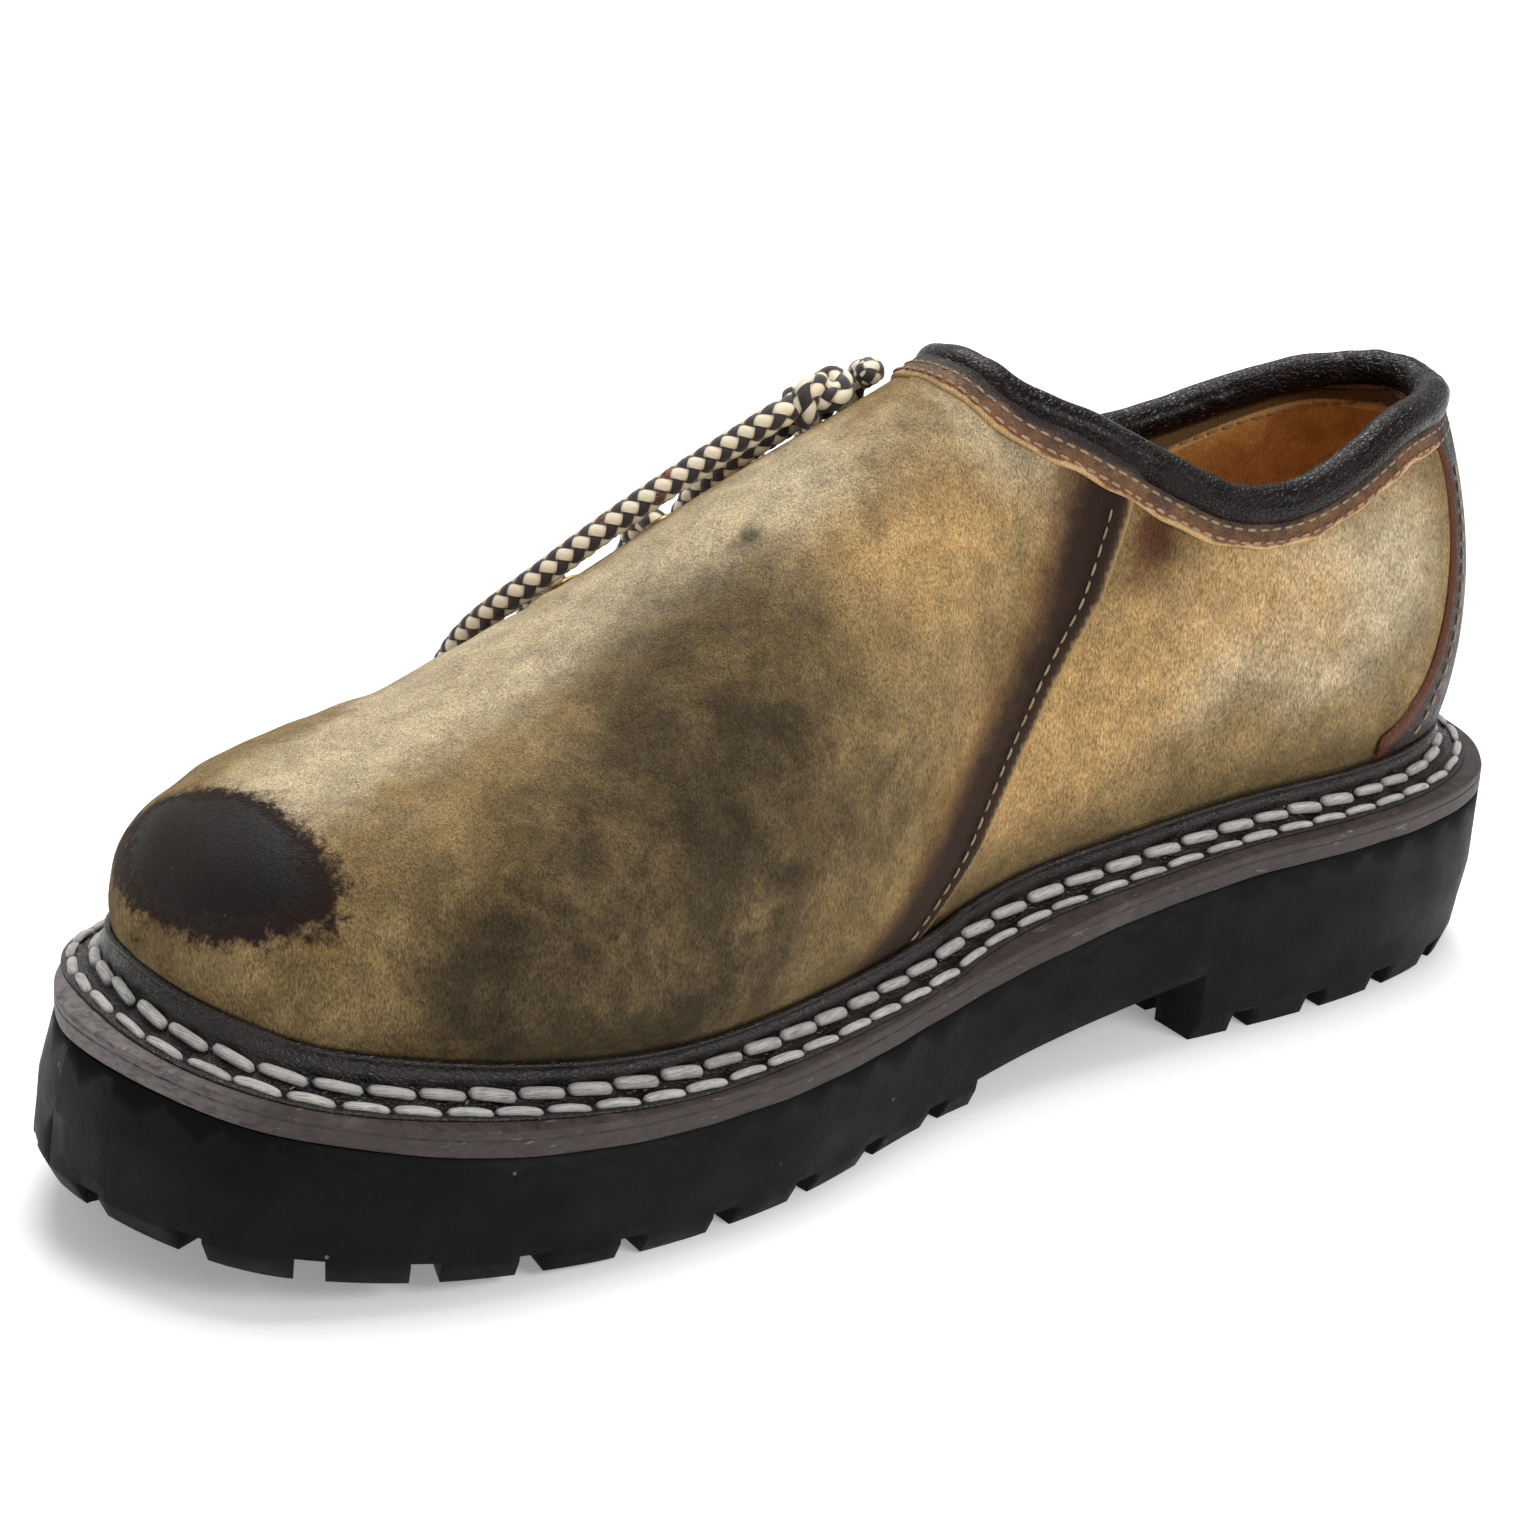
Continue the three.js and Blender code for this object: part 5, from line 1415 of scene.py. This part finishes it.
line, inward, run = sole_line(760)
outward_flat = stack(-inward[:, 0], inward[:, 1], 0 * inward[:, 0])
wear = 0.12 * np.sin(line[:, 1] * 0.31 + line[:, 0] * 0.2) * np.sin(line[:, 1] * 0.083 + 1)
midsole_profile = [(9, 0.02)] + [(inset + wear, height) for inset, height in (
    (0.6, 0.02), (0.14, 0.3), (0, 0.8), (0, 3.1), (0.16, 3.3), (0.16, 3.45), (0.02, 3.7), (0.02, 4.4),
    (0.2, 4.8), (0.7, 5),
)] + [(9, 5)]
midsole = ring_piece("midsole_edge", sole_sections(line, inward, midsole_profile, rim_height), midsole_edge)
midsole.data.set_sharp_from_angle(angle=np.radians(35))
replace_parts(midsole, "midsole")

# Distance from the sole's outline to the upper at four heights; the welt and its stitches follow it
inset = {height: upper_inset(line, inward, run, height) for height in (0.6, 3.0, 5.0, 7.2)}
foot = inset[3.0]
stitch_pitch = 8.5
perimeter = line_length(np.vstack([line, line[:1]]))
stitch_count = int(round(perimeter / stitch_pitch))
phase = np.arange(len(line)) / len(line) * stitch_count
pinch = np.cos(np.pi * phase) ** 8
pinch_out = np.cos(np.pi * (phase + 0.42)) ** 8
at_toe = smooth(line[:, 1], 225, 288)
upper_inset_row = foot - 3.1 - 1.7 * at_toe
lower_inset_row = foot - 7.3 - 1.4 * at_toe
welt_profile = [
    (lower_inset_row - 1.5, 0.02), (lower_inset_row - 1.6, 0.35), (lower_inset_row - 1.1, 0.6),
    (lower_inset_row, 0.6 - 0.35 * pinch_out), (lower_inset_row + 1.3, 0.4 - 0.2 * pinch_out),
    ((lower_inset_row + upper_inset_row) / 2 + 0.3, 0.1), (upper_inset_row - 0.6, 0.6 - 0.3 * pinch),
    (upper_inset_row + 0.9 + 0.35 * pinch, 2.2), (inset[5.0] - 1.75 - 0.9 * at_toe, 4.4),
    (inset[5.0] - 1.6 - 0.5 * at_toe, 5.8), (inset[7.2] - 1.3, 7.0), (inset[7.2] - 0.8, 7.35),
    (inset[7.2] - 0.15, 7.2), (inset[5.0], 5.0), (foot, 3.0), (inset[0.6] - 0.2, 0.1),
]
welt = ring_piece("welt_strip", sole_sections(line, inward, welt_profile, midsole_top, 64), welt_leather)
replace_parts(welt, "welt")

upper_row = sole_sections(line, inward, [(upper_inset_row, 1.75)], midsole_top)[:, 0]
lower_row = sole_sections(line, inward, [(lower_inset_row, 0.65)], midsole_top)[:, 0]
stitch_row(
    "welt_stitches_upper", upper_row, outward_flat * 0.7 + [0, 0, 0.7], stitch_pitch, 0.98, 2.15, 1.9,
    white_thread, closed=True, bend=0.3, twist=0.4, sides=14, rings=15,
)
stitch_row(
    "welt_stitches_lower", np.roll(lower_row, 5, 0), outward_flat * 0.35 + [0, 0, 0.9], stitch_pitch, 0.97,
    1.6, 1.3, white_thread, closed=True, bend=0.5, twist=0.25, sides=14, rings=15,
)


def rounded_outsole():
    """Copy of the CAD outsole whose facets follow the true outline: every point moves by what the outline
    stands off the chord next to it, fading inwards"""
    mesh = bpy.data.objects["outsole"].data.copy()
    mesh.name = "outsole_rubber"
    build = bmesh.new()
    build.from_mesh(mesh)
    bmesh.ops.remove_doubles(build, verts=build.verts, dist=0.00003)
    for _ in range(3):
        long_edges = [edge for edge in build.edges if edge.calc_length() > 0.0028]
        bmesh.ops.subdivide_edges(build, edges=long_edges, cuts=1)
    bmesh.ops.triangulate(build, faces=build.faces)
    build.to_mesh(mesh)
    build.free()
    count = len(mesh.vertices)
    points = np.zeros(count * 3, np.float32)
    mesh.vertices.foreach_get("co", points)
    points = points.reshape(-1, 3) * 1000 - shift
    flat = np.stack([points[:, 0], foot_run(points)], -1)
    q = np.linspace(0, len(stations) - 1, 24 * (len(stations) - 1) + 1)
    chord, bow = [], []
    for side in ("inner", "outer"):
        at = outline_point(stations, side)
        straight = sampled(q, np.arange(len(stations)), at)
        chord.append(straight)
        bow.append(outline_point(q * sole_end / (len(stations) - 1), side) - straight)
    chord, bow = np.vstack(chord), np.vstack(bow)
    distance = np.linalg.norm(flat[:, None] - chord[None], axis=-1)
    nearest = np.argmin(distance, 1)
    fade = np.exp(-((np.min(distance, 1) / 12) ** 2))
    move = bow[nearest] * fade[:, None]
    points = points + stack(move[:, 0], -move[:, 1], 0 * fade)
    mesh.vertices.foreach_set("co", to_row(points).astype(np.float32).ravel())
    mesh.update()
    mesh.polygons.foreach_set("use_smooth", np.ones(len(mesh.polygons), bool))
    mesh.set_sharp_from_angle(angle=np.radians(34))
    mesh.materials.clear()
    mesh.materials.append(rubber)
    piece = add_object("outsole_rubber", mesh)
    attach(piece, "root")
    return piece


outsole = rounded_outsole()
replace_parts(outsole, "outsole")


# Collar


def collar_ends():
    """Shares of the collar's length at which the slit's two sides meet it"""
    at = np.linspace(0.6, 1, 8001)
    s, degrees = collar_spot(at).T
    slit = slit_table[0][1]
    middle = int(np.argmin(np.abs(degrees - slit)))
    half_degree = [off_last(s[middle], degrees[middle] + step, 0.0) for step in (0.5, -0.5)]
    half = (slit_width / 2 + clearance) / np.linalg.norm(half_degree[0] - half_degree[1])
    return at[degrees <= slit - half].min() - 1, at[degrees >= slit + half].max()


collar_start, collar_stop = collar_ends()
collar_at = np.linspace(collar_start, collar_stop, 460)


def uneven(rows, turns, often, height, seed):
    """Soft random relief over a strip: sum of sines along it and round it, from a seeded draw"""
    draw = np.random.default_rng(seed)
    along = np.linspace(0, 1, rows)[:, None]
    turn = np.linspace(0, 2 * np.pi, turns, endpoint=False)[None]
    total = np.zeros((rows, turns))
    for _ in range(14):
        k = draw.uniform(0.2, 1) * often
        n = draw.integers(0, 4)
        phase = draw.uniform(0, 6.3)
        size = draw.uniform(0.3, 1)
        total += size * np.sin(2 * np.pi * k * along + n * turn + phase)
    return height * total / 3


def build_roll():
    """Rolled binding: a tube along the collar's edge with soft dents and rounded ends"""
    point, normal, _ = collar_frame(collar_at)
    centre = point - normal * (wall + quarter_step) / 2
    run = run_of(centre)
    from_end = np.minimum(run, run[-1] - run)
    radius = binding_radius * np.sqrt(1 - (1 - np.clip(from_end / 3, 0.02, 1)) ** 2)
    relief = uneven(len(centre), 28, 40, 0.09, 3) * share(from_end, 0, 5)[:, None]
    sections = tube_sections(centre, radius, relief, up=normal)
    return ring_piece("collar_roll", sections, roll_leather, closed=False, caps=True, along=run)


def leather_lift(place, angle):
    """Lift of the leather under a trim: the vamp, or the quarters a step lower"""
    return -quarter_step * (1 - smooth(ahead_of_seams(place, angle), -2.5, 1.5))


def on_leather(place, angle, lift):
    """Points at a distance off the last"""
    return last_point(place, angle) + last_normal(place, angle) * np.asarray(lift)[..., None]


facing_width = 7.8


def build_facing():
    """Strip below the roll: a flat band that follows the leather, its lower edge cut and slightly worn"""
    along = collar_at[3:-3]
    columns = [
        (0.0, 1.1), (1.0, 1.25), (2.2, 1.0), (4.5, 1.0), (6.6, 1.0), (7.4, 0.85), (facing_width, 0.5),
        (facing_width, -0.3), (3.5, -0.3), (0.0, -0.3),
    ]
    wander = 0.18 * np.sin(along * 190) + 0.12 * np.sin(along * 83 + 1)
    rows = []
    for distance, lift in columns:
        place, angle = below_collar(along, distance + wander * (distance > 5))
        rows.append(on_leather(place, angle, leather_lift(place, angle) + lift))
    sections = np.stack(rows, 1)
    depth = np.array([distance for distance, _ in columns])
    return ring_piece("collar_facing", sections, facing, {"depth": depth}, closed=False, caps=True)


roll = build_roll()
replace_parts(roll, "collar_binding")
build_facing()


def collar_stitches(name, distance, lift, pitch, width, inside=False):
    """Row of stitches at a distance below the collar's edge, on the facing or inside on the lining"""
    place, angle = below_collar(collar_at[6:-6], distance)
    base = -wall if inside else leather_lift(place, angle)
    normal = last_normal(place, angle) * (-1 if inside else 1)
    path = on_leather(place, angle, base) + normal * lift
    stitch_row(name, path, normal, pitch, 0.8, width, width * 0.8, tan_thread, bend=0.12)


collar_stitches("facing_stitches_upper", 4.2, 1.0, 2.8, 0.55)
collar_stitches("facing_stitches_lower", 6.6, 1.05, 2.8, 0.6)
collar_stitches("lining_stitches", 7.4, 0.1, 3.2, 0.6, inside=True)


# Seams


def seam_path(off, degrees, low, high):
    """Line on the vamp at a distance ahead of its edge: bisection over the place at every angle"""
    angle = np.radians(degrees)
    first = np.full(len(angle), float(place_of(low)))
    final = np.full(len(angle), float(place_of(high)))
    for _ in range(40):
        middle = (first + final) / 2
        ahead = ahead_of_seams(middle, angle) > off
        final = np.where(ahead, middle, final)
        first = np.where(ahead, first, middle)
    place = (first + final) / 2
    kept = (above_sole(place, angle, 7.8) > 0) & (beyond_collar(place, angle) > 5.6)
    return place[kept], angle[kept]


for name, degrees, low, high in (
    ("seam_stitches_inner", np.linspace(-30, 75, 240), 80, 190),
    ("seam_stitches_outer", np.linspace(210, 158, 160), 150, 230),
):
    place, angle = seam_path(3.4, degrees, low, high)
    normal = last_normal(place, angle)
    lift = vamp_lift(place, angle, last_point(place, angle))
    stitch_row(name, on_leather(place, angle, lift + 0.12), normal, 3.3, 0.8, 0.46, 0.42, tan_thread)


# Back strip


def back_surface(x, z):
    """Place and angle of the last's back behind a point: bisection until the place's section holds it"""
    low, high = np.zeros_like(x), np.full_like(x, 4.0)
    for _ in range(40):
        place = (low + high) / 2
        belly = last["belly"](place)
        rise = z - midsole_top(last["along"](place)) - belly
        h = rise / np.where(rise >= 0, last["crown"](place) - belly, belly - last["keel"](place))
        reach = np.where(x >= 0, last["inner"](place), last["outer"](place))
        power = np.where(h >= 0, last["round"](place), 0.7)
        limit = reach * np.clip(1 - h**2, 0, 1) ** (power / 2)
        outside = (np.abs(x) > limit) | (np.abs(h) >= 1)
        low = np.where(outside, place, low)
        high = np.where(outside, high, place)
    h = np.clip(h, -1, 1)
    return high, np.arctan2(h, np.where(x >= 0, 1, -1) * np.sqrt(1 - h**2))


def strip_half(z):
    """Half width of the back strip: the CAD outline, let out to where its front edges show from the side"""
    rows = np.array(sorted(strip_table, key=lambda row: row[1]), float)
    return np.interp(z, rows[:, 1] * instep_height, rows[:, 0] * instep_height)


# Height of the back strip's foot
strip_foot = 47.5


def build_back_strip():
    """Back strip: rows from the welt to the roll, each from edge to edge with rounded borders"""
    edge_point, _, _ = collar_frame(np.linspace(0.3, 0.7, 200))
    order = np.argsort(edge_point[:, 0])
    rise = np.linspace(0, 1, 90)[:, None]
    across = np.concatenate([[-1], np.linspace(-0.985, 0.985, 40), [1]])
    x = strip_half(strip_foot + 60 * rise) * across[None]
    top_z = np.interp(x, edge_point[order, 0], edge_point[order, 2]) - 2
    z = strip_foot + (top_z - strip_foot) * rise
    x = strip_half(z) * across[None]
    place, angle = back_surface(x, z)
    top = on_leather(place, angle, np.where(np.abs(across) > 0.99, -0.7, 0.05)[None])
    edge = smooth(np.abs(across), 0.965, 0.995)
    worn = {"raw": np.concatenate([edge, edge])}
    return slab_piece("back_strip", top, on_leather(place, angle, -1.3), strip_leather, worn)


strip = build_back_strip()
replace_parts(strip, "heel_strip")
for side in (-1, 1):
    z = np.linspace(strip_foot + 2, 101, 120)
    place, angle = back_surface(side * (strip_half(z) - 2.6), z)
    name = f"strip_stitches_{'left' if side < 0 else 'right'}"
    stitch_row(
        name, on_leather(place, angle, 0.15), last_normal(place, angle), 3.2, 0.8, 0.6, 0.5, tan_thread,
    )


# Inside of the shoe


def build_insole():
    """Insole: rows across the last from side to side, slightly dished, with an underside"""
    amount = (1 - np.cos(np.linspace(0.02, np.pi - 0.02, 120))) / 2
    place = 0.95 + (last_end - 2.2) * amount
    tilt = level_angle(place, 3.3)
    sides = [on_leather(place, angle, -(wall + 0.1)) for angle in (tilt, np.pi - tilt)]
    u = np.linspace(0, 1, 28)
    top = sides[0][:, None] * (1 - u)[None, :, None] + sides[1][:, None] * u[None, :, None]
    dish = 0.8 * (1 - np.abs(2 * u - 1) ** 3)
    top = top - stack(0, 0, dish)[None]
    return slab_piece("insole_leather", top, top - np.array([0, 0, 1.2]), lining, {"depth": 30.0})


insole = build_insole()
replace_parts(insole, "insole")


def build_tongue():
    """Tongue: a padded sheet under the slit, that sinks under the roll at the back"""
    s = np.linspace(0.385, 0.7, 60) * sole_length
    middle = slit_middle(np.minimum(s, last_eyelet))
    girth = np.linalg.norm(off_last(s, middle + 1, 0.0) - off_last(s, middle - 1, 0.0), axis=-1) / 2
    half = (slit_width / 2 + tongue_overlap) / girth
    deep = (wall + quarter_step) / 2 + binding_radius + clearance
    deep = deep + (wall - deep) * smooth(s, first_eyelet, last_eyelet)
    across = np.linspace(-1, 1, 25)
    degrees = middle[:, None] + half[:, None] * across[None]
    along = np.broadcast_to(s[:, None], degrees.shape)
    padded = 0.35 * (1 - across[None] ** 2) * np.sin(np.pi * np.linspace(0, 1, 60))[:, None]
    padded = padded - 0.5 * np.abs(across[None]) ** 8
    top = off_last(along, degrees, -(deep[:, None] + 0.25) + padded)
    under = off_last(along, degrees, -(deep[:, None] + tongue_thickness))
    edge = np.abs(across) ** 12
    values = {"toe": 60.0, "raw": np.concatenate([edge, edge]), "gold": 0.1, "beige": 1.1}
    return slab_piece("tongue_suede", top, under, suede, values)


tongue = build_tongue()
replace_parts(tongue, "tongue")


# Eyelets


def build_eyelets():
    """Eyelets: a rolled rim over a barrel, turned about each hole's own direction"""
    profile = np.array([
        (0, -wall), (0, 0.5), (0.15, 0.95), (0.7, 1.15), (1.4, 0.95), (2.0, 0.5), (2.15, 0.15), (1.9, 0.02),
        (eyelet_wall, 0.02), (eyelet_wall, -wall),
    ]) + [eyelet_bore, 0]
    turns = 36
    turn = np.linspace(0, 2 * np.pi, turns, endpoint=False)
    all_points, all_faces, centres = [], [], []
    for _, _, middle, normal in eyelets:
        side = unit(np.cross(normal, [0, 1, 0]))
        other = np.cross(normal, side)
        radial = np.cos(turn)[:, None] * side + np.sin(turn)[:, None] * other
        points = middle + radial[:, None] * profile[None, :, :1] + normal * profile[None, :, 1:]
        offset = sum(len(p) for p in all_points)
        all_faces.append(grid_faces(turns, len(profile), True, True, offset))
        all_points.append(points.reshape(-1, 3))
        ring = middle + radial * (eyelet_bore + 0.2)
        centres.append(np.repeat(ring, len(profile), 0) - normal * 0.4)
    points, faces = np.vstack(all_points), np.vstack(all_faces).tolist()
    return add_mesh("eyelets", points, faces, brass, points - np.vstack(centres))


eyelet_rings = build_eyelets()
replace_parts(eyelet_rings, *[f"eyelet_{side}_{row + 1}" for row, side, _, _ in eyelets])


# Laces


def braid_relief(turn, along):
    """Braid of two families of strands that cross at 45 degrees, over and under in turn: each strand is a
    round bar whose height swings as it goes over and under the other family"""
    a = strand_count * turn + along / strand_pitch
    b = strand_count * turn - along / strand_pitch

    def strand(own, other, half, sign):
        index = np.floor(own)
        bar = np.clip(1 - (np.abs(own - index - 0.5) / half) ** 2, 0, 1) ** 0.5
        return bar * (0.55 + sign * 0.45 * np.sin(np.pi * (other + index)))

    return np.maximum(strand(a, b, cream_half, 1), strand(b, a, dark_half, -1))


def lace_piece(name, route, radius, closed=False):
    """Braided cord along a smooth curve through a route's points"""
    dense = catmull(route, np.linspace(0, 1, 600), closed)
    length = line_length(dense)
    rows = max(int(length / 0.36), 12)
    path = even(dense, rows, closed)
    along = np.linspace(0, length, rows)
    turn = np.linspace(0, 1, 40, endpoint=False)
    relief = 0.5 * braid_relief(turn[None], along[:, None]) - 0.5
    from_end = np.minimum(along, length - along)
    size = radius * np.sqrt(1 - (1 - np.clip(from_end / (0.7 * radius), 0.05, 1)) ** 2)
    relief = relief * share(from_end, 0, 1.5)[:, None]
    sections = tube_sections(path, size, relief, closed)
    piece = ring_piece(name, sections, lace, closed=closed, caps=not closed, along=along)
    return piece, path


def eyelet_at(row, side):
    """Middle and direction of an eyelet"""
    return next((middle, normal) for r, k, middle, normal in eyelets if r == row and k == side)


over_head = clearance + eyelet_head + cord_radius + clearance


def lace_start(row, side):
    """Points on which a lace comes up through an eyelet"""
    middle, normal = eyelet_at(row, side)
    return middle + normal * np.array([-0.9 * wall, -0.4 * wall, 0.4 * over_head])[:, None]


for row in range(1, eyelet_rows):
    (inner, inner_normal), (outer, outer_normal) = eyelet_at(row, "inner"), eyelet_at(row, "outer")
    amounts = np.array([0.16, 0.36, 0.64, 0.84])[:, None]
    normal = unit(inner_normal * (1 - amounts) + outer_normal * amounts)
    over = inner * (1 - amounts) + outer * amounts + normal * (over_head + 1.2 * np.sin(np.pi * amounts))
    route = np.vstack([lace_start(row, "inner"), over, lace_start(row, "outer")[::-1]])
    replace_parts(lace_piece(f"lace_over_{row}", route, cord_radius - 0.1)[0], f"lace_bar_{row}")

inner_tie_route = [(0.441, 122.5, 5), (0.444, 117.5, 3.6), (0.453, 114.5, 3.2), (0.462, 113.5, 3.2)]
outer_tie_route = [(0.452, 139, 5.2), (0.46, 133, 5.2), (0.468, 127, 4.4)]
side_end_route = [
    (0.505, 121, 3.1), (0.517, 122.5, 3.1), (0.527, 126, 3.1), (0.534, 131, 3.1), (0.537, 137, 3.3),
    (0.538, 143, 3.3), (0.538, 149, 3.1), (0.538, 155, 3.1), (0.539, 161, 3.1), (0.541, 167, 3.1),
    (0.544, 173, 3.1),
]


def route_points(route):
    """Points of a route that is given by share of the length, degrees and lift"""
    rows = np.array(route, float)
    return off_last(rows[:, 0] * sole_length, rows[:, 1], rows[:, 2])


for side, route in (("inner", inner_tie_route), ("outer", outer_tie_route)):
    points = np.vstack([lace_start(0, side), route_points(route)])
    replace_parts(lace_piece(f"lace_to_knot_{side}", points, cord_radius - 0.1)[0], f"lace_tie_{side}")

# Knot: a trefoil on the leather, its long way along the foot
knot_foot, knot_above = route_points([(0.487, 115.5, 3.4), (0.487, 115.5, 4.4)])
knot_normal = unit(knot_above - knot_foot)
knot_middle = knot_foot + knot_normal * 0.8
knot_run = unit(np.array([0.0, -1.0, 0.0]) + knot_normal * knot_normal[1])
t = np.linspace(0, 2 * np.pi, 24, endpoint=False)
trefoil = stack(
    1.75 * (np.sin(t) + 2 * np.sin(2 * t)), 1.35 * (np.cos(t) - 2 * np.cos(2 * t)), -1.7 * np.sin(3 * t),
)
knot_axes = np.stack([knot_run, np.cross(knot_normal, knot_run), knot_normal])
knot, _ = lace_piece("lace_bow_knot", knot_middle + trefoil @ knot_axes, cord_radius, closed=True)
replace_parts(knot, "lace_knot")

for name, node, ahead, route, with_pieces in (
    ("lace_free_front", "lace_end_front", 1.5, front_end_route, [knot]),
    ("lace_free_side", "lace_end_side", -1.0, side_end_route, []),
):
    start = knot_middle + knot_run * ahead
    piece, path = lace_piece(name, np.vstack([start, route_points(route)]), cord_radius)
    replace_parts(piece, node)
    tuple(to_row(path[0]))
    line_length(path) / 1000
    to_row(path).tolist()
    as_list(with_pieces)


# Stage, light and camera


def aim(thing, position, target):
    thing.location = position
    thing.rotation_euler = (Vector(target) - Vector(position)).to_track_quat("-Z", "Y").to_euler()


def area_light(name, position, target, size, power):
    """Soft box aimed at a target, in metres and watts"""
    light = bpy.data.lights.new(name, "AREA")
    light.shape = "RECTANGLE"
    light.size, light.size_y = size
    light.energy = power
    aim(add_object(name, light), position, target)


def build_camera():
    """Camera on a sphere round its target, placed by turn, height and roll in degrees; the focal length
    is in widths of the picture"""
    turn, height, roll = np.radians([53.77, 22.87, 3.43])
    distance = 585.4
    focal = 2.21922
    back = np.array([np.sin(turn) * np.cos(height), -np.cos(turn) * np.cos(height), np.sin(height)])
    target = np.array([17.61, -28.04, 65.85])
    right = unit(np.cross(-back, [0, 0, 1]))
    up = np.cross(right, -back)
    tilted_right = right * np.cos(roll) + up * np.sin(roll)
    tilted_up = -right * np.sin(roll) + up * np.cos(roll)
    camera = bpy.data.cameras.new("camera")
    camera.sensor_fit = "HORIZONTAL"
    camera.sensor_width = 36
    camera.lens = 36 * focal
    camera.clip_start, camera.clip_end = 0.01, 20
    thing = add_object("camera", camera)
    matrix = np.eye(4)
    matrix[:3, 0], matrix[:3, 1], matrix[:3, 2] = tilted_right, tilted_up, back
    matrix[:3, 3] = to_row(target + back * distance)
    thing.matrix_world = matrix.T.tolist()
    bpy.context.scene.camera = thing


def build_stage():
    """Pale floor, a bright even room and three soft boxes"""
    floor_material, _, _ = new_material(
        "floor", (0.9, 0.9, 0.9, 1), Base_Color=(0.93, 0.93, 0.93, 1), Roughness=0.9, Specular_Ior_Level=0.1,
        Emission_Color=(1, 1, 1, 1), Emission_Strength=0.25,
    )
    mesh = bpy.data.meshes.new("floor")
    reach = 6.0
    corners = [(-reach, -reach, 0), (reach, -reach, 0), (reach, reach, 0), (-reach, reach, 0)]
    mesh.from_pydata(corners, [], [(0, 1, 2, 3)])
    mesh.materials.append(floor_material)
    floor = add_object("floor", mesh)
    world = bpy.data.worlds.new("room")
    world.use_nodes = True
    background = world.node_tree.nodes["Background"]
    background.inputs["Color"].default_value = (1, 1, 1, 1)
    background.inputs["Strength"].default_value = 0.42
    bpy.context.scene.world = world
    area_light("top_box", (-0.2, 0.1, 1.1), (0, 0, 0.05), (0.8, 0.8), 10)
    area_light("back_box", (-0.9, 0.5, 0.9), (0, 0, 0.06), (0.7, 0.5), 7)
    area_light("side_box", (1.1, 0.35, 0.75), (0, 0.03, 0.07), (0.6, 0.5), 8)
    bpy.context.scene.view_settings.view_transform = "Standard"


build_camera()
build_stage()
